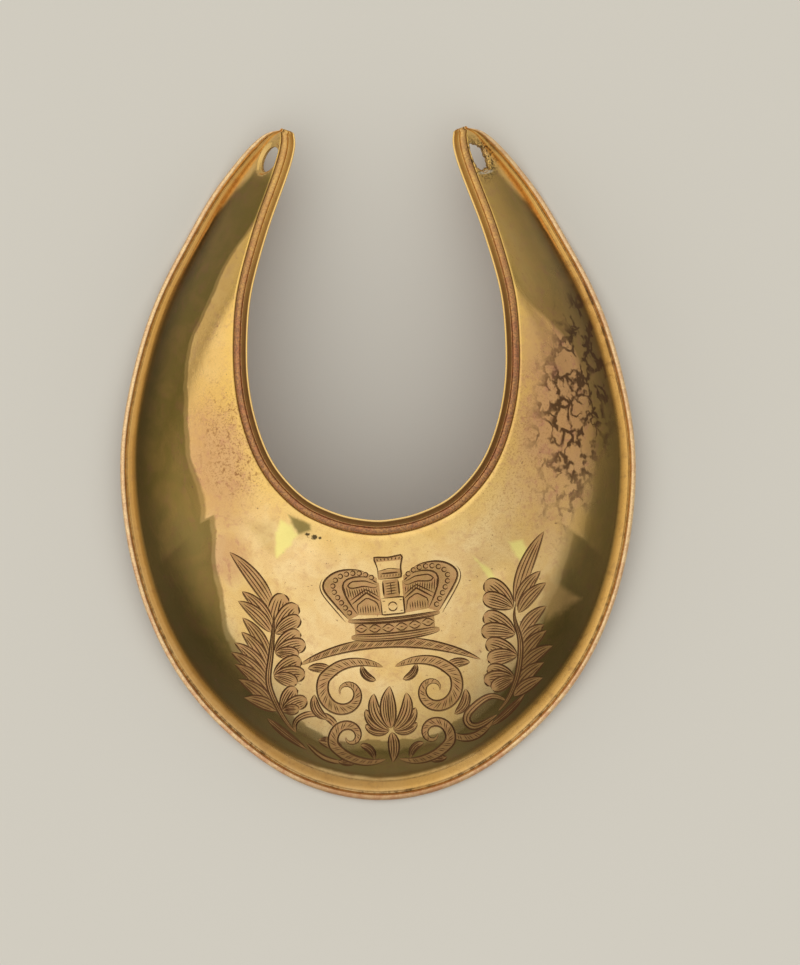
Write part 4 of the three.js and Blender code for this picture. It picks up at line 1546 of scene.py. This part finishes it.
def crackled(finish, s, colour):
    """A net of brown marks on the right: the edges of warped cells, broken up by noise. Returns
    the colour and the net."""
    drift = finish.node(
        "ShaderNodeTexNoise", {}, {"Vector": s.at, "Scale": 0.35, "Detail": 3.0}, output="Color",
    )
    warped = finish.node(
        "ShaderNodeVectorMath", {"operation": "MULTIPLY_ADD"}, {0: drift, 1: (4.5, 4.5, 0.0), 2: s.at},
    )
    cells = finish.node(
        "ShaderNodeTexVoronoi", {"feature": "DISTANCE_TO_EDGE"},
        {"Vector": finish.stretched(warped, (2.4, 3.3, 3.0), 25.0), "Scale": 1.0, "Randomness": 1.0},
    )
    patchy = finish.noise(s.at, 0.3, 2.0, 0.6)
    lines = finish.between(0.17, 0.05, cells + (patchy - 0.5) * 0.3 + (s.mottle - 0.5) * 0.12)
    broken = finish.between(0.4, 0.5, finish.noise(s.at, 0.4, 2.0, 0.6))
    crackle = lines * broken * oval(finish, s, CRACKLE_PATCH)
    return finish.layered(colour, (crackle * 0.92, (80, 56, 38))), crackle


def speckled(finish, s, colour):
    """Brown speckles and blotches beside the neck, and sparse dots all over."""
    speckle = finish.between(0.53, 0.6, s.fleck)
    blotch = finish.between(0.54, 0.64, finish.noise(s.at, 1.1, 5.0, 0.75))
    left = finish.most(speckle * 0.6, blotch) * oval(finish, s, SPECKLES_LEFT)
    right = speckle * oval(finish, s, SPECKLES_RIGHT)
    sparse = finish.between(0.7, 0.74, finish.noise(s.at, 1.6, 2.0, 0.6))
    return finish.layered(
        colour,
        (finish.most(left * 0.8, right * 0.3), (140, 92, 48)),
        (sparse * 0.6, (120, 84, 70)),
    )


def dent_reflections_and_specks(finish, s, colour):
    """Painted highlights, shade and reflections on the facets where the sheet is dented, and the black
    specks.
    """
    def facet(corners, soft, fray):
        """1 inside one of the outlines of the plan and 0 outside."""
        return finish.facet(s.x, s.y, corners, soft, fray)

    # Painted highlights where the dents mirror a bright light
    painted_highlight = finish.most(
        facet(DENT_PAINTED_HIGHLIGHT, 0.9, s.fray),
        facet(HIGHLIGHT_SPOT_HIGH, 0.9, s.fray + 0.3),
        facet(HIGHLIGHT_SPOT_LOW, 0.7, s.fray * 0.5 + 0.2),
    )
    specks = [
        finish.spot(s.at, centre, (size, size * 0.7), 0.0, (s.fleck - 0.5) * 2.0) for centre, size in SPECKS
    ]
    # Painted reflections and painted shade on the dent facets, then the real black specks
    return finish.layered(
        colour,
        (facet(DENT_OLIVE_REFLECTION, 2.2, s.fray) * 0.35, (190, 158, 88)),
        (facet(FLANK_REFLECTION_FACET, 1.6, s.fray) * 0.5, (200, 162, 106)),
        (painted_highlight * 0.85, (255, 242, 150)),
        (facet(DENT_PAINTED_SHADE, 0.7, s.fray * 0.6) * 0.75, (104, 98, 50)),
        *((speck * 0.9, (40, 32, 24)) for speck in specks),
    )


def corroded(finish, s, colour):
    """Dark flecks and a pale crust round the torn ribbon hole."""
    torn = finish.spot(s.at, (18.0, 51.0), (2.4, 3.6), 20.0, (s.mottle - 0.5) * 0.6)
    crust = finish.spot(s.at, (18.7, 48.7), (1.1, 0.3), 12.0, (s.fleck - 0.5) * 1.2)
    return finish.layered(
        colour,
        (torn * finish.between(0.48, 0.56, s.fleck) * 0.85, (40, 32, 22)),
        (crust * 0.7, (214, 204, 184)),
    )


def mouldings_of(finish, s):
    """1 on each of the mouldings, and on the underside, and 0 elsewhere."""
    shares = {
        name: finish.between(first - soft, first + soft, s.place)
        * finish.between(last + soft, last - soft, s.place)
        for name, (first, last, soft) in MOULDINGS.items()
    }
    return SimpleNamespace(**shares, back=finish.between(ON_BACK - 0.05, ON_BACK + 0.1, s.place))


def rimmed(finish, s, on, colour):
    """The rims: a painted highlight along the roll with painted shade on it at the bottom middle, gilding
    rubbed to copper and nicked on the roll and the bead, a golden cove, a brown band and dirt in the
    grooves; and the underside's brown patina."""
    rub = finish.between(0.4, 0.62, finish.noise(s.at, 0.5, 5.0, 0.7))
    nicks = finish.between(0.42, 0.6, finish.noise(s.at, 3.2, 3.0, 0.6))
    dirt = finish.between(0.45, 0.62, finish.noise(s.at, 0.9, 4.0, 0.75))
    golden = finish.blend(finish.between(2.0, -2.0, s.row), linear(224, 172, 92), linear(172, 124, 60))
    golden = finish.layered(golden, (finish.most(s.patina * 0.5, s.grit * 0.35), (140, 100, 54)))
    return finish.layered(
        finish.blend(on.cove * 0.8, colour, golden),
        # Painted highlight: the roll made near white for the light that it catches
        (on.roll * 0.9, (252, 220, 172)),
        (on.roll * rub * (0.35 + 0.35 * (1 - s.away)), (214, 150, 112)),
        # Painted shade on the roll at the bottom middle
        (on.roll * (1 - s.sides) * 0.6, (160, 114, 76)),
        (on.bead * (0.9 - 0.5 * s.horns), (188, 136, 90)),
        (on.bead * rub * (0.75 - 0.4 * s.horns), (182, 120, 88)),
        (on.roll * nicks * 0.3, (168, 118, 84)),
        (on.bead * nicks * (0.7 - 0.4 * s.horns), (122, 90, 74)),
        (on.band * (0.85 - 0.4 * s.horns), (124, 92, 58)),
        (on.lip * 0.5, (244, 206, 142)),
        (on.groove * (0.3 + 0.5 * dirt * (1 - 0.6 * s.away)), (84, 58, 30)),
        (on.neck_groove * 0.7, (92, 64, 38)),
        (on.back * 0.85, (172, 112, 70)),
        (on.back * finish.between(0.45, 0.7, s.cloud) * 0.6, (88, 60, 40)),
    )


def browned(finish, s, tarnish_and_dark_reflection, colour):
    """The engraving: matted areas with painted glints of light along the hatching, and dark cuts."""
    filled = finish.blend(finish.between(0.4, 0.65, s.cloud), linear(192, 148, 100), linear(166, 128, 82))
    filled = finish.layered(
        filled,
        (finish.between(0.45, 0.65, s.mottle) * 0.55, (190, 130, 96)),
        # Painted glints of light along the hatching
        (finish.between(0.52, 0.68, s.hatch) * 0.62, (232, 194, 128)),
        # Darker where the flank's olive tarnish and painted dark reflection lie
        (tarnish_and_dark_reflection * 0.5, (140, 110, 64)),
    )
    colour = finish.blend(s.matted * (0.62 + 0.35 * finish.between(0.35, 0.6, s.hatch)), colour, filled)
    return finish.layered(colour, (s.cut * (0.75 + 0.25 * s.mottle), (88, 58, 38)))


def gilt_copper():
    """Fire-gilt copper: pale gold with olive tarnish and painted dark reflection on the flank, pink and
    brown stains, painted highlights, shade and reflections on the facets where it is dented, gilding rubbed
    to copper on the rims with a painted highlight on the roll, dirt in the grooves and matted, browned
    engraving with painted glints along its hatching."""
    material = bpy.data.materials.new("gilt_copper_finish")
    finish = Finish(material)
    s = gilt_surface(finish)
    on = mouldings_of(finish, s)
    colour, pink = gilded(finish, s)
    colour, tarnish_and_dark_reflection = tarnished_and_reflection_shaded(finish, s, colour)
    colour, crackle = crackled(finish, s, colour)
    for coat in (speckled, dent_reflections_and_specks, corroded):
        colour = coat(finish, s, colour)
    colour = rimmed(finish, s, on, colour)
    colour = browned(finish, s, tarnish_and_dark_reflection, colour)

    worn = finish.most(on.roll, on.bead)
    dull = finish.most(on.groove, on.band, on.back * 0.9)
    rough = 0.12 + 0.08 * s.cloud + 0.06 * s.mottle + 0.1 * pink + 0.14 * crackle + 0.06 * tarnish_and_dark_reflection
    rough = rough + worn * 0.12 + dull * 0.25 + finish.most(s.matted * 0.24, s.cut * 0.18)
    streaks = finish.noise(finish.stretched(s.at, (1.0, 14.0, 1.0), 24.0), 2.2, 2.0, 0.5)
    scratches = finish.between(0.62, 0.7, streaks)
    height = s.grain * (0.15 + 0.9 * worn) + s.mottle * 0.5 + s.matted * s.hatch * 1.2 - scratches * 0.3
    bump = finish.node("ShaderNodeBump", {}, {"Strength": 0.12, "Distance": 0.0002, "Height": height})
    shader = finish.node("ShaderNodeBsdfPrincipled", {}, {
        "Base Color": colour, "Metallic": 1.0, "Roughness": rough, "Normal": bump,
    })
    finish.node("ShaderNodeOutputMaterial", {}, {"Surface": shader})
    return material


def add_gorget():
    """The gorget as one piece in place of its solid."""
    mesh = mesh_from(crescent(), "gorget_shell")
    piece = bpy.data.objects.new("gorget_shell", mesh)
    bpy.context.scene.collection.objects.link(piece)
    mesh.materials.append(gilt_copper())
    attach(piece, BODY)
    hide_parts(PLATE_NODE)
    return piece


# The floor, the light and the camera
FLOOR_SIZE = 6.0
FLOOR_GAP = 0.00005
CAMERA_HEIGHT = 2.5
VIEW_SIZE = (800, 965)
PIXELS_PER_MM = 5.95
MIDDLE_PIXEL = (378, 464)
CAMERA_TURN = 0.0125


def add_floor():
    """A plain pale floor under the gorget."""
    half = FLOOR_SIZE / 2
    mesh = bpy.data.meshes.new("floor")
    corners = [(-half, -half), (half, -half), (half, half), (-half, half)]
    mesh.from_pydata([(x, y, -FLOOR_GAP) for x, y in corners], [], [(0, 1, 2, 3)])
    floor = bpy.data.objects.new("floor", mesh)
    bpy.context.scene.collection.objects.link(floor)
    material = bpy.data.materials.new("floor_finish")
    finish = Finish(material)
    coordinates = finish.node("ShaderNodeTexCoord", output="Object")
    tone = finish.noise(coordinates, 3.0, 2.0)
    colour = finish.blend(tone, linear(214, 212, 208), linear(220, 218, 215))
    shader = finish.node("ShaderNodeBsdfPrincipled", {}, {"Base Color": colour, "Roughness": 0.9})
    finish.node("ShaderNodeOutputMaterial", {}, {"Surface": shader})
    mesh.materials.append(material)


def add_light():
    """Soft light: a bright field overhead, a paler wall of light round it that is brightest on
    the left, and a dim ring at the horizon."""
    world = bpy.data.worlds.new("studio")
    bpy.context.scene.world = world
    finish = Finish(world)
    direction = finish.node("ShaderNodeTexCoord", output="Generated")
    right = finish.axis(direction, "X")
    towards_horns = finish.axis(direction, "Y")
    height = finish.axis(direction, "Z")
    wall = finish.between(0.02, 0.14, height)
    overhead = finish.between(0.72, 0.78, height - 0.1 * right)
    sky = finish.blend(wall, (0.16, 0.14, 0.09, 1.0), (0.86, 0.83, 0.74, 1.0))
    sky = finish.blend(overhead, sky, (0.98, 0.95, 0.87, 1.0))
    brightness = 1.0 - 0.2 * right + 0.2 * towards_horns
    seen = finish.node("ShaderNodeLightPath", output="Is Camera Ray")
    background = finish.node("ShaderNodeBackground", {}, {"Color": sky, "Strength": brightness})
    plain = finish.node("ShaderNodeBackground", {}, {"Color": (0.7, 0.7, 0.69, 1.0), "Strength": 1.0})
    both = finish.node("ShaderNodeMixShader", {}, {0: seen, 1: background, 2: plain})
    finish.node("ShaderNodeOutputWorld", {}, {"Surface": both})


def add_camera():
    """A camera straight above with a long lens. The view's height in millimetres sets the
    lens, and the middle pixel of the crescent sets where the camera stands."""
    camera = bpy.data.cameras.new("camera")
    camera.sensor_width = 36
    camera.lens = camera.sensor_width * CAMERA_HEIGHT / (VIEW_SIZE[1] / PIXELS_PER_MM * MM)
    camera.clip_end = 20
    seat = bpy.data.objects.new("camera", camera)
    bpy.context.scene.collection.objects.link(seat)
    right = (VIEW_SIZE[0] / 2 - MIDDLE_PIXEL[0]) / PIXELS_PER_MM * MM
    up = (MIDDLE_PIXEL[1] - VIEW_SIZE[1] / 2) / PIXELS_PER_MM * MM
    c, s = math.cos(-CAMERA_TURN), math.sin(-CAMERA_TURN)
    seat.location = (right * c - up * s, right * s + up * c, CAMERA_HEIGHT)
    seat.rotation_euler = (0, 0, -CAMERA_TURN)
    bpy.context.scene.camera = seat


bpy.context.scene.view_settings.view_transform = "Standard"
add_camera()
add_light()
add_floor()
add_gorget()
